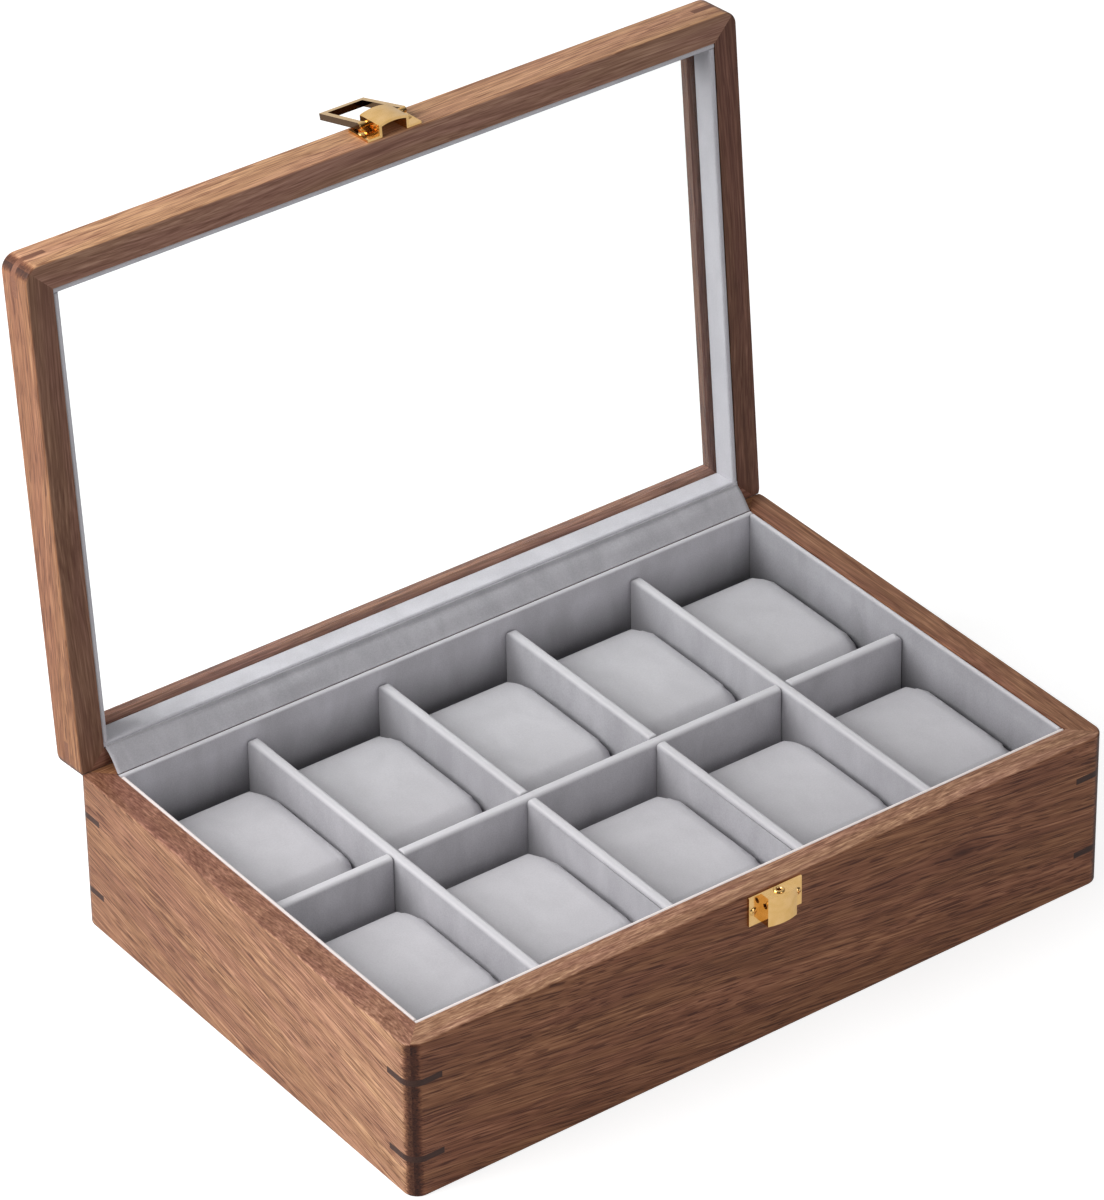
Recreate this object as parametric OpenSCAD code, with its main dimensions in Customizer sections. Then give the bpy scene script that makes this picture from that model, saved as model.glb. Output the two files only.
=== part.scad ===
// Watch box with ten compartments
// A mitred walnut tray with splined corners, lined in velvet, under a glazed
// lid that opens on two stop hinges and shuts with a draw latch.
// Units are millimetres. The origin is the middle of the tray's underside,
// +X points to the right-hand wall, +Y to the hinged back and +Z up.
// The lid is drawn open, where its bevelled back edge rests on the tray's.

/* [Tray] */

// Outside width, left to right
box_w = 320; // [260:1:380]
// Outside depth, front to back
box_d = 214; // [180:1:260]
// Height of the tray up to its rim
base_h = 68; // [58:1:90]
// Thickness of the walls and of the lid's rails
wall_t = 10.8; // [9:0.1:14]
// Radius of the upright outer corners
corner_r = 6; // [2:0.5:8]
// Rounding of the long outer edges
edge_r = 0.9; // [0.5:0.1:2]
// Thickness of the bottom panel
panel_t = 5; // [3:0.5:8]
// Thickness of the felt glued under the panel, flush with the walls
felt_t = 0.8; // [0.5:0.1:2]
// Depth of the panel's rebate in the walls
rebate_d = 4; // [2:0.5:6]

/* [Lid] */

// Height of the lid's frame
lid_h = 17; // [14:0.5:26]
// Angle at which the open lid rests on its bevel
lid_open = 94.5; // [92:0.5:97]
// Slit between the two rims when the lid is shut
rim_gap = 0.4; // [0.2:0.1:1]
// Height of the lip that the glass bears on
lip_t = 3.6; // [3:0.1:7]
// Reach of the lip inward from the rails' inner faces
lip_w = 4.8; // [3:0.1:9]
// Thickness of the glass
glass_t = 2; // [1.5:0.1:3]

/* [Corner splines] */

// Thickness of a spline
key_t = 2.7; // [1.5:0.1:4]
// Reach of a spline along each outer face, from the corner
key_leg = 14; // [10:0.5:16]
// Distance of the tray's splines from its top and bottom edges
key_inset = 17; // [10:0.5:22]
// Distance of the lid's splines from its top edge
lid_key_inset = 8; // [6:0.1:9]

/* [Lining] */

// Thickness of the lining boards with their velvet
liner_t = 2.2; // [1.5:0.1:4]
// Thickness of the floor board with its velvet
floor_t = 2.4; // [1.5:0.1:4]
// Drop of the lining's top edge below the rim
liner_drop = 0.3; // [0.1:0.1:3]
// Thickness of the lid's velvet strips
lid_liner_t = 2.3; // [1:0.1:3]

/* [Dividers] */

// Thickness of a divider with its velvet
divider_t = 4.6; // [3:0.1:6]
// Drop of the dividers' top edge below the rim
divider_drop = 7; // [2:0.5:15]
// How much narrower the two end compartments are than the others
end_less = 1.2; // [0:0.1:4]

/* [Cushions] */

// Gap between a cushion's side and the wall of its compartment
side_gap = 1.5; // [1:0.1:4]
// Gap between a cushion and the back of its compartment
back_gap = 5.4; // [1:0.1:12]
// Gap between a cushion and the front of its compartment
front_gap = 12.3; // [1:0.1:16]
// Height of a cushion to its crown
cushion_h = 39.7; // [25:0.1:50]
// Rise of the crown over the ends of its top
cushion_crown = 2.4; // [1:0.1:5]

/* [Hinges] */

// Distance from the tray's back face to the hinge line
hinge_inset = 3.8; // [3:0.1:5]
// Distance of each hinge from the middle of the box
hinge_x = 104; // [60:1:130]
// Length of a hinge
hinge_len = 32; // [24:1:50]
// Thickness of a hinge leaf
leaf_t = 1.2; // [1:0.1:2]
// Outside radius of the knuckles
knuckle_r = 2.1; // [1.8:0.1:2.6]
// Radius of the hinge pin
hinge_pin_r = 0.8; // [0.6:0.05:1]

/* [Latch] */

// Sideways place of the latch from the middle of the box
latch_x = 2; // [-10:0.5:10]
// Width of the strike and of the bracket over their flanges
latch_w = 24.2; // [22:0.2:32]
// Height of the strike and of the bracket
latch_h = 12.6; // [12:0.2:16]
// Width of the raised hump
hump_w = 13.2; // [11:0.2:18]
// Reach of the hump's two sides from the wood
hump_out = 5.3; // [5:0.1:7]
// Bulge of the hump's rounded front past its sides
hump_bow = 1.1; // [0.5:0.1:2]
// Thickness of the brass sheet
sheet_t = 1.1; // [0.9:0.1:1.2]
// Drop of the strike's top edge below the tray's rim
strike_drop = 1; // [0.5:0.1:4]
// Height of the bracket's lower edge above the lid's rim
bracket_rise = 1; // [0.8:0.1:3]
// Height of the bail's pivot above the bracket's lower edge
pivot_up = 8.3; // [7.8:0.1:9]
// Distance of the bail's pivot from the wood
pivot_out = 3.5; // [3.4:0.1:4]
// Distance from the bail's pivot to the middle of its cross bar
bail_reach = 25.8; // [24:0.1:30]
// Width of the bail at its cross bar
bail_w = 20; // [18:0.2:24]
// Thickness of the bail
bail_t = 2.6; // [2:0.1:2.8]
// Lean of the hanging bail over the open lid's edge
bail_lean = 12; // [6:0.5:13]

/* [Hidden] */

$fn = 64;

half_w = box_w / 2;
half_d = box_d / 2;
inner_w = half_w - wall_t;
inner_d = half_d - wall_t;

// hinge line, which is also the apex of the two bevels
hinge_y = half_d - hinge_inset;
hinge_z = base_h + rim_gap / 2;
// each bevel takes half of the open angle, with a hair to spare
bevel_drop = hinge_inset * tan(lid_open / 2) + 0.05;

// lid frame, in the place it takes when shut
lid_z = base_h + rim_gap;
glass_top = lid_z + lid_h - lip_t;
strip_z = lid_z + 0.2;
strip_h = glass_top - glass_t - 0.1 - strip_z;

// lining and dividers
floor_z = felt_t + panel_t;
cell_floor = floor_z + floor_t;
liner_h = base_h - liner_drop - floor_z;
liner_in_w = inner_w - liner_t;
liner_in_d = inner_d - liner_t;
divider_top = base_h - divider_drop;
divider_h = divider_top - cell_floor;
divider_round = 1.6;
slot_t = divider_t + 0.3;
cell_w = (2 * liner_in_w - 4 * divider_t + 2 * end_less) / 5;
cell_d = liner_in_d - divider_t / 2;
cell_pitch = cell_w + divider_t;
cross_x = [-1.5 * cell_pitch, -0.5 * cell_pitch, 0.5 * cell_pitch, 1.5 * cell_pitch];

// cushions, one in each compartment and nearer to its back than its front
outer_cell_x = (liner_in_w + cross_x[3] + divider_t / 2) / 2;
cell_x = [-outer_cell_x, -cell_pitch, 0, cell_pitch, outer_cell_x];
cushion_w = cell_w - 2 * side_gap;
cushion_l = cell_d - back_gap - front_gap;
back_row_y = divider_t / 2 + front_gap + cushion_l / 2;
front_row_y = -liner_in_d + front_gap + cushion_l / 2;
cushion_z = cell_floor + 0.3;
cushion_corner = 12;
cushion_back_r = 12;
cushion_front_r = 18;
cushion_side_r = 5;

// hinges
leaf_gap = 0.4;
leaf_in = 6.6;
leaf_screw_y = hinge_y - (leaf_in + knuckle_r + leaf_gap) / 2;
leaf_screw_x = hinge_len * 0.3;
pin_clear = 0.05;
hinge_screw_r = 0.75;
hinge_screw_l = 7;

// latch
latch_screw_r = 0.8;
latch_screw_l = 7;
screw_x = latch_w / 2 - 2;
strike_z = base_h - strike_drop - latch_h;
bracket_z = lid_z + bracket_rise;
pivot_y = -(half_d + pivot_out);
pivot_z = bracket_z + pivot_up;
trunnion_r = 1.1;
eyelet_out = 3.1;
eyelet_r = 1.3;
bail_boss_r = 1.35;
bail_arm = 2.2;

// ---------- shared shapes ----------

// swings a piece of the shut lid up to its open stop
module opened() {
    translate([0, hinge_y, hinge_z])
        rotate([-lid_open, 0, 0])
            translate([0, -hinge_y, -hinge_z])
                children();
}

// lays a flat outline (first axis inward, second axis up) along X
module along_x(length) {
    translate([-length / 2, 0, 0])
        rotate([90, 0, 90])
            linear_extrude(length)
                children();
}

// rectangle of the given size with its four corners rounded
module soft_rect(size_x, size_y, r) {
    translate([r, 0]) square([size_x - 2 * r, size_y]);
    translate([0, r]) square([size_x, size_y - 2 * r]);
    for (x = [r, size_x - r], y = [r, size_y - r])
        translate([x, y]) circle(r);
}

// centred rectangle with rounded corners, seen from above
module plan_rect(size_x, size_y, r) {
    translate([-size_x / 2, -size_y / 2]) soft_rect(size_x, size_y, r);
}

// section with its two outer corners rounded and its inner ones square
module board_section(thick, height, r) {
    translate([r, 0]) square([thick - r, height]);
    translate([0, r]) square([thick, height - 2 * r]);
    translate([r, r]) circle(r);
    translate([r, height - r]) circle(r);
}

// front board of a mitred frame: the section runs straight between the two
// corners and is turned through half of each rounded corner
module mitred_board(half_len, half_dep, depth, height) {
    intersection() {
        translate([0, -half_dep, 0])
            along_x(2 * (half_len - corner_r))
                children();
        linear_extrude(height)
            polygon([
                [-half_len, -half_dep],
                [half_len, -half_dep],
                [half_len - depth, -half_dep + depth],
                [-half_len + depth, -half_dep + depth]
            ]);
    }
    for (turn = [0, 1])
        mirror([turn, 0, 0])
            translate([half_len - corner_r, corner_r - half_dep, 0])
                rotate([0, 0, 270])
                    rotate_extrude(angle = 45)
                        intersection() {
                            translate([corner_r, 0]) mirror([1, 0]) children();
                            square([corner_r, height]);
                        }
}

// triangle of spline stock across the front right corner
module key_blank(reach) {
    linear_extrude(key_t)
        polygon([
            [half_w + reach, -half_d - reach],
            [half_w - key_leg, -half_d - reach],
            [half_w - key_leg, -half_d],
            [half_w, -half_d + key_leg],
            [half_w + reach, -half_d + key_leg]
        ]);
}

// the same at all four corners
module at_corners() {
    for (mx = [0, 1], my = [0, 1])
        mirror([mx, 0, 0]) mirror([0, my, 0]) children();
}

// slots for the tray's splines
module base_key_slots() {
    for (z = [key_inset, base_h - key_inset])
        translate([0, 0, z - key_t / 2])
            at_corners() key_blank(1);
}

// splines, trimmed to the rounded corner
module fitted_keys() {
    intersection() {
        at_corners() key_blank(0);
        linear_extrude(key_t) plan_rect(box_w, box_d, corner_r);
    }
}

// bevel along the back edge that lets the lid swing past upright
module bevel(rim_z, sign) {
    along_x(box_w + 2)
        polygon([
            [hinge_y, rim_z],
            [half_d + 0.01, rim_z - sign * bevel_drop * (half_d + 0.01 - hinge_y) / hinge_inset],
            [half_d + 2, rim_z - sign * bevel_drop],
            [half_d + 2, rim_z + sign * 2],
            [hinge_y, rim_z + sign * 2]
        ]);
}

// ---------- tray ----------

module base_section() {
    difference() {
        board_section(wall_t, base_h, edge_r);
        translate([wall_t - rebate_d, -1]) square([rebate_d + 1, floor_z + 1]);
    }
}

module base_board(half_len, half_dep) {
    mitred_board(half_len, half_dep, wall_t, base_h) base_section();
}

module base_front_wall() {
    color("#7b5137")
        difference() {
            base_board(half_w, half_d);
            base_key_slots();
            for (s = [-1, 1])
                latch_screw_at(strike_z, s) screw_hole(latch_screw_r, latch_screw_l);
        }
}

module base_back_wall() {
    color("#7b5137")
        difference() {
            rotate([0, 0, 180]) base_board(half_w, half_d);
            base_key_slots();
            bevel(base_h, 1);
            for (s = [-1, 1])
                translate([s * hinge_x, 0, 0]) {
                    leaf_pocket(base_h, -1);
                    for (x = [-1, 1])
                        translate([x * leaf_screw_x, leaf_screw_y, base_h])
                            screw_hole(hinge_screw_r, hinge_screw_l);
                }
        }
}

module base_left_wall() {
    color("#8a5d3f")
        difference() {
            rotate([0, 0, -90]) base_board(half_d, half_w);
            base_key_slots();
            bevel(base_h, 1);
        }
}

module base_right_wall() {
    color("#8a5d3f")
        difference() {
            rotate([0, 0, 90]) base_board(half_d, half_w);
            base_key_slots();
            bevel(base_h, 1);
        }
}

// panel let into the walls' rebate from below
module panel_sheet(thick) {
    fit = rebate_d - 0.2;
    linear_extrude(thick)
        square([2 * (inner_w + fit), 2 * (inner_d + fit)], center = true);
}

module base_panel() {
    color("#9b8468")
        translate([0, 0, felt_t]) panel_sheet(panel_t);
}

module base_felt() {
    color("#3b3836") panel_sheet(felt_t);
}

module base_corner_keys() {
    color("#35221a")
        for (z = [key_inset, base_h - key_inset])
            translate([0, 0, z - key_t / 2])
                fitted_keys();
}

// ---------- lining ----------

// board standing on the bottom panel, with its top edge rounded
module liner_board(length) {
    r = liner_t / 2 - 0.1;
    along_x(length) {
        square([liner_t, liner_h - r]);
        translate([r, liner_h - r - 0.01]) square([liner_t - 2 * r, r + 0.01]);
        for (y = [r, liner_t - r])
            translate([y, liner_h - r]) circle(r);
    }
}

module liner_floor() {
    color("#b4b5b9")
        translate([0, 0, floor_z])
            linear_extrude(floor_t)
                square([2 * liner_in_w - 0.2, 2 * liner_in_d - 0.2], center = true);
}

module liner_front() {
    color("#c3c4c8")
        translate([0, -inner_d, floor_z]) liner_board(2 * inner_w - 0.1);
}

module liner_back() {
    color("#c3c4c8")
        translate([0, liner_in_d, floor_z]) liner_board(2 * inner_w - 0.1);
}

module liner_left() {
    color("#c3c4c8")
        translate([-inner_w + liner_t, 0, floor_z])
            rotate([0, 0, 90]) liner_board(2 * liner_in_d - 0.1);
}

module liner_right() {
    color("#c3c4c8")
        translate([inner_w, 0, floor_z])
            rotate([0, 0, 90]) liner_board(2 * liner_in_d - 0.1);
}

// divider board along X with a rounded top edge and rounded top corners
module divider_board(length) {
    r = divider_round;
    end_r = 2.5;
    intersection() {
        translate([0, -divider_t / 2, 0])
            along_x(length) {
                square([divider_t, divider_h - r]);
                translate([r, divider_h - r - 0.01]) square([divider_t - 2 * r, r + 0.01]);
                for (y = [r, divider_t - r])
                    translate([y, divider_h - r]) circle(r);
            }
        translate([0, divider_t, 0])
            rotate([90, 0, 0])
                linear_extrude(2 * divider_t) {
                    translate([-length / 2, 0]) square([length, divider_h - end_r]);
                    translate([end_r - length / 2, divider_h - end_r - 0.01])
                        square([length - 2 * end_r, end_r + 0.01]);
                    for (x = [end_r - length / 2, length / 2 - end_r])
                        translate([x, divider_h - end_r]) circle(end_r);
                }
    }
}

// the long divider is notched from above at the outer crossings, where the
// cross dividers run over it, and from below at the inner ones
module divider_centre() {
    color("#bdbec2")
        translate([0, 0, cell_floor])
            difference() {
                divider_board(2 * liner_in_w - 0.4);
                for (x = [cross_x[0], cross_x[3]])
                    translate([x - slot_t / 2, -divider_t, divider_h / 2])
                        cube([slot_t, 2 * divider_t, divider_h]);
                for (x = [cross_x[1], cross_x[2]])
                    translate([x - slot_t / 2, -divider_t, -1])
                        cube([slot_t, 2 * divider_t, divider_h / 2 + 1]);
            }
}

module cross_divider(index, over) {
    color("#bdbec2")
        translate([cross_x[index], 0, cell_floor])
            rotate([0, 0, 90])
                difference() {
                    divider_board(2 * liner_in_d - 0.4);
                    translate([-slot_t / 2, -divider_t, over ? -1 : divider_h / 2])
                        cube([slot_t, 2 * divider_t, over ? divider_h / 2 + 1 : divider_h]);
                }
}

module divider_cross_1() { cross_divider(0, true); }
module divider_cross_2() { cross_divider(1, false); }
module divider_cross_3() { cross_divider(2, false); }
module divider_cross_4() { cross_divider(3, true); }

// ---------- cushions ----------

// loaf with a broad round at its front end, softer corners and a crowned top
module cushion_solid() {
    crown_r = (pow(cushion_l / 2, 2) + pow(cushion_crown, 2)) / (2 * cushion_crown);
    intersection() {
        rotate([0, 0, 90])
            translate([0, -cushion_w / 2, 0])
                along_x(cushion_l)
                    soft_rect(cushion_w, cushion_h, cushion_side_r);
        translate([0, -cushion_l / 2, 0])
            along_x(cushion_w)
                intersection() {
                    soft_rect(cushion_l + cushion_front_r, cushion_h, cushion_front_r);
                    translate([-cushion_back_r, 0])
                        soft_rect(cushion_l + cushion_back_r, cushion_h, cushion_back_r);
                }
        linear_extrude(cushion_h)
            plan_rect(cushion_w, cushion_l, cushion_corner);
        translate([0, 0, cushion_h - crown_r])
            rotate([0, 90, 0])
                cylinder(h = cushion_w, r = crown_r, center = true, $fn = 180);
    }
}

// numbers run left to right, the back row first
module cushion(number) {
    column = (number - 1) % 5;
    row_y = number <= 5 ? back_row_y : front_row_y;
    color("#b9babd")
        translate([cell_x[column], row_y, cushion_z])
            cushion_solid();
}

module cushion_1() { cushion(1); }
module cushion_2() { cushion(2); }
module cushion_3() { cushion(3); }
module cushion_4() { cushion(4); }
module cushion_5() { cushion(5); }
module cushion_6() { cushion(6); }
module cushion_7() { cushion(7); }
module cushion_8() { cushion(8); }
module cushion_9() { cushion(9); }
module cushion_10() { cushion(10); }

// ---------- hinges ----------

// upright hole for a wood screw, its mouth at z = 0
module screw_hole(r, length) {
    translate([0, 0, -length]) cylinder(h = length + 0.5, r = r);
}

// countersunk wood screw, its head flush at z = 0
module flush_screw() {
    difference() {
        union() {
            translate([0, 0, -hinge_screw_l]) cylinder(h = hinge_screw_l - 0.5, r = hinge_screw_r);
            translate([0, 0, -0.9]) cylinder(h = 0.9, r1 = hinge_screw_r, r2 = 1.4);
        }
        translate([-0.85, -0.15, -0.35]) cube([1.7, 0.3, 1]);
        translate([-0.15, -0.85, -0.35]) cube([0.3, 1.7, 1]);
    }
}

// pocket for one leaf and the knuckles, on the side given by sign
module leaf_pocket(rim_z, sign) {
    translate([-hinge_len / 2, hinge_y - leaf_in, sign > 0 ? rim_z - 1 : rim_z - leaf_t])
        cube([hinge_len, leaf_in, leaf_t + 1]);
    translate([-hinge_len / 2, hinge_y, hinge_z])
        rotate([0, 90, 0])
            cylinder(h = hinge_len, r = knuckle_r + 0.3);
}

// one stretch of the hinge's barrel, with the bore for the pin
module knuckle(x0, x1, rim_z, sign) {
    difference() {
        union() {
            translate([x0, hinge_y, hinge_z])
                rotate([0, 90, 0])
                    cylinder(h = x1 - x0, r = knuckle_r);
            translate([x0, hinge_y - knuckle_r - leaf_gap - 0.1, sign > 0 ? rim_z : rim_z - leaf_t])
                cube([x1 - x0, knuckle_r + leaf_gap, leaf_t]);
        }
        translate([x0 - 1, hinge_y, hinge_z])
            rotate([0, 90, 0])
                cylinder(h = x1 - x0 + 2, r = hinge_pin_r + pin_clear);
    }
}

// the flat of a leaf with its two countersunk holes
module leaf_plate(rim_z, sign) {
    difference() {
        translate([-hinge_len / 2, hinge_y - leaf_in, sign > 0 ? rim_z : rim_z - leaf_t])
            cube([hinge_len, leaf_in - knuckle_r - leaf_gap, leaf_t]);
        for (x = [-1, 1])
            translate([x * leaf_screw_x, leaf_screw_y, rim_z])
                rotate([sign > 0 ? 180 : 0, 0, 0]) {
                    translate([0, 0, -3]) cylinder(h = 4, r = hinge_screw_r);
                    translate([0, 0, -0.9]) cylinder(h = 0.9, r1 = hinge_screw_r, r2 = 1.4);
                }
    }
}

third = hinge_len / 3;
run = 0.15;

module hinge_leaves_base() {
    color("#c9992f")
        for (s = [-1, 1])
            translate([s * hinge_x, 0, 0]) {
                leaf_plate(base_h, -1);
                knuckle(-hinge_len / 2, -third / 2 - run, base_h, -1);
                knuckle(third / 2 + run, hinge_len / 2, base_h, -1);
            }
}

module hinge_leaves_lid() {
    color("#c9992f")
        opened()
            for (s = [-1, 1])
                translate([s * hinge_x, 0, 0]) {
                    leaf_plate(lid_z, 1);
                    knuckle(-third / 2 + run, third / 2 - run, lid_z, 1);
                }
}

module hinge_pins() {
    color("#a97f24")
        for (s = [-1, 1])
            translate([s * hinge_x - hinge_len / 2, hinge_y, hinge_z])
                rotate([0, 90, 0])
                    cylinder(h = hinge_len, r = hinge_pin_r);
}

module hinge_screws_base() {
    color("#c9992f")
        for (s = [-1, 1], x = [-1, 1])
            translate([s * hinge_x + x * leaf_screw_x, leaf_screw_y, base_h])
                flush_screw();
}

module hinge_screws_lid() {
    color("#c9992f")
        opened()
            for (s = [-1, 1], x = [-1, 1])
                translate([s * hinge_x + x * leaf_screw_x, leaf_screw_y, lid_z])
                    rotate([180, 0, 0]) flush_screw();
}

// ---------- cloth over the hinges ----------

// the strip leaves the top of the tray's back lining and bows forward to the
// lid's back rail
cloth_t = 0.6;
cloth_r = 15;
cloth_a = [inner_d + 0.3, base_h + 0.25];
cloth_b = [hinge_y + rim_gap + 0.2, hinge_z + (hinge_y - inner_d) + 0.4];
cloth_span = cloth_b - cloth_a;
cloth_chord = norm(cloth_span);
cloth_normal = [cloth_span[1], -cloth_span[0]] / cloth_chord;
cloth_c = (cloth_a + cloth_b) / 2
    + cloth_normal * sqrt(pow(cloth_r, 2) - pow(cloth_chord / 2, 2));

module hinge_cloth() {
    color("#a9aaaf")
        along_x(2 * inner_w - 0.4)
            intersection() {
                difference() {
                    translate(cloth_c) circle(cloth_r + cloth_t, $fn = 180);
                    translate(cloth_c) circle(cloth_r, $fn = 180);
                }
                polygon([
                    cloth_c,
                    cloth_c + 3 * (cloth_a - cloth_c),
                    cloth_c + 3 * (cloth_b - cloth_c)
                ]);
            }
}

// ---------- lid ----------

module lid_section() {
    board_section(wall_t, lid_h, edge_r);
    translate([wall_t - 1, lid_h - lip_t]) square([lip_w + 1, lip_t]);
}

module lid_board(half_len, half_dep) {
    translate([0, 0, lid_z])
        mitred_board(half_len, half_dep, wall_t + lip_w, lid_h) lid_section();
}

module lid_key_slots() {
    translate([0, 0, lid_z + lid_h - lid_key_inset - key_t / 2])
        at_corners() key_blank(1);
}

module lid_front_rail() {
    color("#7b5137")
        opened()
            difference() {
                lid_board(half_w, half_d);
                lid_key_slots();
                for (s = [-1, 1])
                    latch_screw_at(bracket_z, s) screw_hole(latch_screw_r, latch_screw_l);
            }
}

module lid_back_rail() {
    color("#7b5137")
        opened()
            difference() {
                rotate([0, 0, 180]) lid_board(half_w, half_d);
                lid_key_slots();
                bevel(lid_z, -1);
                for (s = [-1, 1])
                    translate([s * hinge_x, 0, 0]) {
                        leaf_pocket(lid_z, 1);
                        for (x = [-1, 1])
                            translate([x * leaf_screw_x, leaf_screw_y, lid_z])
                                rotate([180, 0, 0]) screw_hole(hinge_screw_r, hinge_screw_l);
                    }
            }
}

module lid_left_rail() {
    color("#8a5d3f")
        opened()
            difference() {
                rotate([0, 0, -90]) lid_board(half_d, half_w);
                lid_key_slots();
                bevel(lid_z, -1);
            }
}

module lid_right_rail() {
    color("#8a5d3f")
        opened()
            difference() {
                rotate([0, 0, 90]) lid_board(half_d, half_w);
                lid_key_slots();
                bevel(lid_z, -1);
            }
}

module lid_corner_keys() {
    color("#35221a")
        opened()
            translate([0, 0, lid_z + lid_h - lid_key_inset - key_t / 2])
                fitted_keys();
}

module glass_pane() {
    color("#dfeaec", 0.35)
        opened()
            translate([0, 0, glass_top - glass_t])
                linear_extrude(glass_t)
                    square([2 * inner_w - 0.6, 2 * inner_d - 0.6], center = true);
}

// velvet strip that holds the pane against the lip
module lid_strip(length) {
    along_x(length) soft_rect(lid_liner_t, strip_h, lid_liner_t * 0.4);
}

module lid_liner_front() {
    color("#c3c4c8")
        opened()
            translate([0, -inner_d, strip_z]) lid_strip(2 * inner_w - 0.1);
}

module lid_liner_back() {
    color("#c3c4c8")
        opened()
            translate([0, inner_d - lid_liner_t, strip_z]) lid_strip(2 * inner_w - 0.1);
}

module lid_liner_left() {
    color("#c3c4c8")
        opened()
            translate([-inner_w + lid_liner_t, 0, strip_z])
                rotate([0, 0, 90]) lid_strip(2 * (inner_d - lid_liner_t) - 0.1);
}

module lid_liner_right() {
    color("#c3c4c8")
        opened()
            translate([inner_w, 0, strip_z])
                rotate([0, 0, 90]) lid_strip(2 * (inner_d - lid_liner_t) - 0.1);
}

// ---------- latch ----------

// a flange's screw line on the front, its mouth facing forward
module latch_screw_at(z, side) {
    translate([latch_x + side * screw_x, -half_d, z + latch_h / 2])
        rotate([90, 0, 0])
            children();
}

// the hump from above, with its front on a wide arc; inset moves the
// outline inward by the thickness of the sheet
module hump_plan(inset) {
    bow_r = (pow(hump_w / 2, 2) + pow(hump_bow, 2)) / (2 * hump_bow);
    intersection() {
        translate([-hump_w / 2 + inset, -inset]) square([hump_w - 2 * inset, hump_out + 2 * hump_bow]);
        translate([0, hump_out + hump_bow - bow_r]) circle(bow_r - inset, $fn = 200);
    }
}

// pressed plate with two flanges and a hump that is shut at its top
module pressed_plate(z) {
    translate([latch_x, -half_d, z])
        mirror([0, 1, 0])
            difference() {
                union() {
                    for (s = [-1, 1])
                        translate([s > 0 ? hump_w / 2 - sheet_t : -latch_w / 2, 0, 0])
                            cube([(latch_w - hump_w) / 2 + sheet_t, sheet_t, latch_h]);
                    linear_extrude(latch_h) hump_plan(0);
                }
                translate([0, 0, -1]) linear_extrude(latch_h + 1 - sheet_t) hump_plan(sheet_t);
                // eyes for the bail's trunnions
                for (s = [-1, 1])
                    translate([s * (hump_w / 2 - sheet_t / 2) - sheet_t, pivot_out, pivot_up])
                        rotate([0, 90, 0])
                            cylinder(h = 2 * sheet_t, r = trunnion_r + 0.06);
                translate([0, eyelet_out, latch_h - 3]) cylinder(h = 4, r = eyelet_r);
                for (s = [-1, 1])
                    translate([s * screw_x, -1, latch_h / 2])
                        rotate([-90, 0, 0])
                            cylinder(h = 4, r = latch_screw_r + 0.1);
            }
}

// round-headed screw through a flange, its head's seat at z = sheet_t
module dome_screw() {
    difference() {
        union() {
            translate([0, 0, -latch_screw_l]) cylinder(h = latch_screw_l + sheet_t, r = latch_screw_r);
            intersection() {
                translate([0, 0, sheet_t]) cylinder(h = 0.8, r = 1.7);
                translate([0, 0, sheet_t + 0.8 - 2.3]) sphere(2.3);
            }
        }
        translate([-1, -0.2, sheet_t + 0.3]) cube([2, 0.4, 1]);
        translate([-0.2, -1, sheet_t + 0.3]) cube([0.4, 2, 1]);
    }
}

// tubular rivet with a rolled rim, through the top of the hump
module eyelet(z) {
    rim = 0.65;
    bore = eyelet_r - 0.4;
    translate([latch_x, -half_d - eyelet_out, z + latch_h])
        difference() {
            union() {
                rotate_extrude()
                    intersection() {
                        translate([bore + rim, 0]) circle(rim);
                        square([4, 2]);
                    }
                translate([0, 0, -sheet_t - 0.6]) cylinder(h = sheet_t + 0.8, r = eyelet_r);
                translate([0, 0, -sheet_t - 0.6]) cylinder(h = 0.6, r = eyelet_r + 0.4);
            }
            translate([0, 0, -4]) cylinder(h = 6, r = bore);
        }
}

module strike_plate() {
    color("#d6a33a") pressed_plate(strike_z);
}

module strike_screws() {
    color("#d6a33a")
        for (s = [-1, 1])
            latch_screw_at(strike_z, s) dome_screw();
}

module strike_eyelet() {
    color("#d6a33a") eyelet(strike_z);
}

module latch_bracket() {
    color("#d6a33a") opened() pressed_plate(bracket_z);
}

module latch_bracket_screws() {
    color("#d6a33a")
        opened()
            for (s = [-1, 1])
                latch_screw_at(bracket_z, s) dome_screw();
}

module latch_eyelet() {
    color("#d6a33a") opened() eyelet(bracket_z);
}

// loop with two arms and a cross bar, drawn upright over its pivot at the origin
module bail_shape() {
    eye_w = hump_w + 8;
    // cross bar
    translate([-bail_w / 2, -bail_t / 2, bail_reach - bail_t / 2])
        cube([bail_w, bail_t, bail_t]);
    // arms, a little closer together at the cross bar
    intersection() {
        translate([-eye_w / 2, -bail_t / 2, 0]) cube([eye_w, bail_t, bail_reach + bail_t / 2]);
        translate([0, bail_t, 0])
            rotate([90, 0, 0])
                linear_extrude(2 * bail_t)
                    for (s = [-1, 1])
                        polygon([
                            [s * (eye_w / 2 - bail_arm), 0],
                            [s * eye_w / 2, 0],
                            [s * bail_w / 2, bail_reach + bail_t / 2],
                            [s * (bail_w / 2 - bail_arm), bail_reach + bail_t / 2]
                        ]);
    }
    for (s = [-1, 1]) {
        // round end of the arm
        translate([s > 0 ? eye_w / 2 - bail_arm : -eye_w / 2, 0, 0])
            rotate([0, 90, 0])
                cylinder(h = bail_arm, r = bail_boss_r);
        // trunnion in the hump's eye
        translate([s > 0 ? hump_w / 2 - sheet_t - 0.4 : -eye_w / 2 + 0.5, 0, 0])
            rotate([0, 90, 0])
                cylinder(h = eye_w / 2 - hump_w / 2 + sheet_t - 0.1, r = trunnion_r);
    }
}

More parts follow.
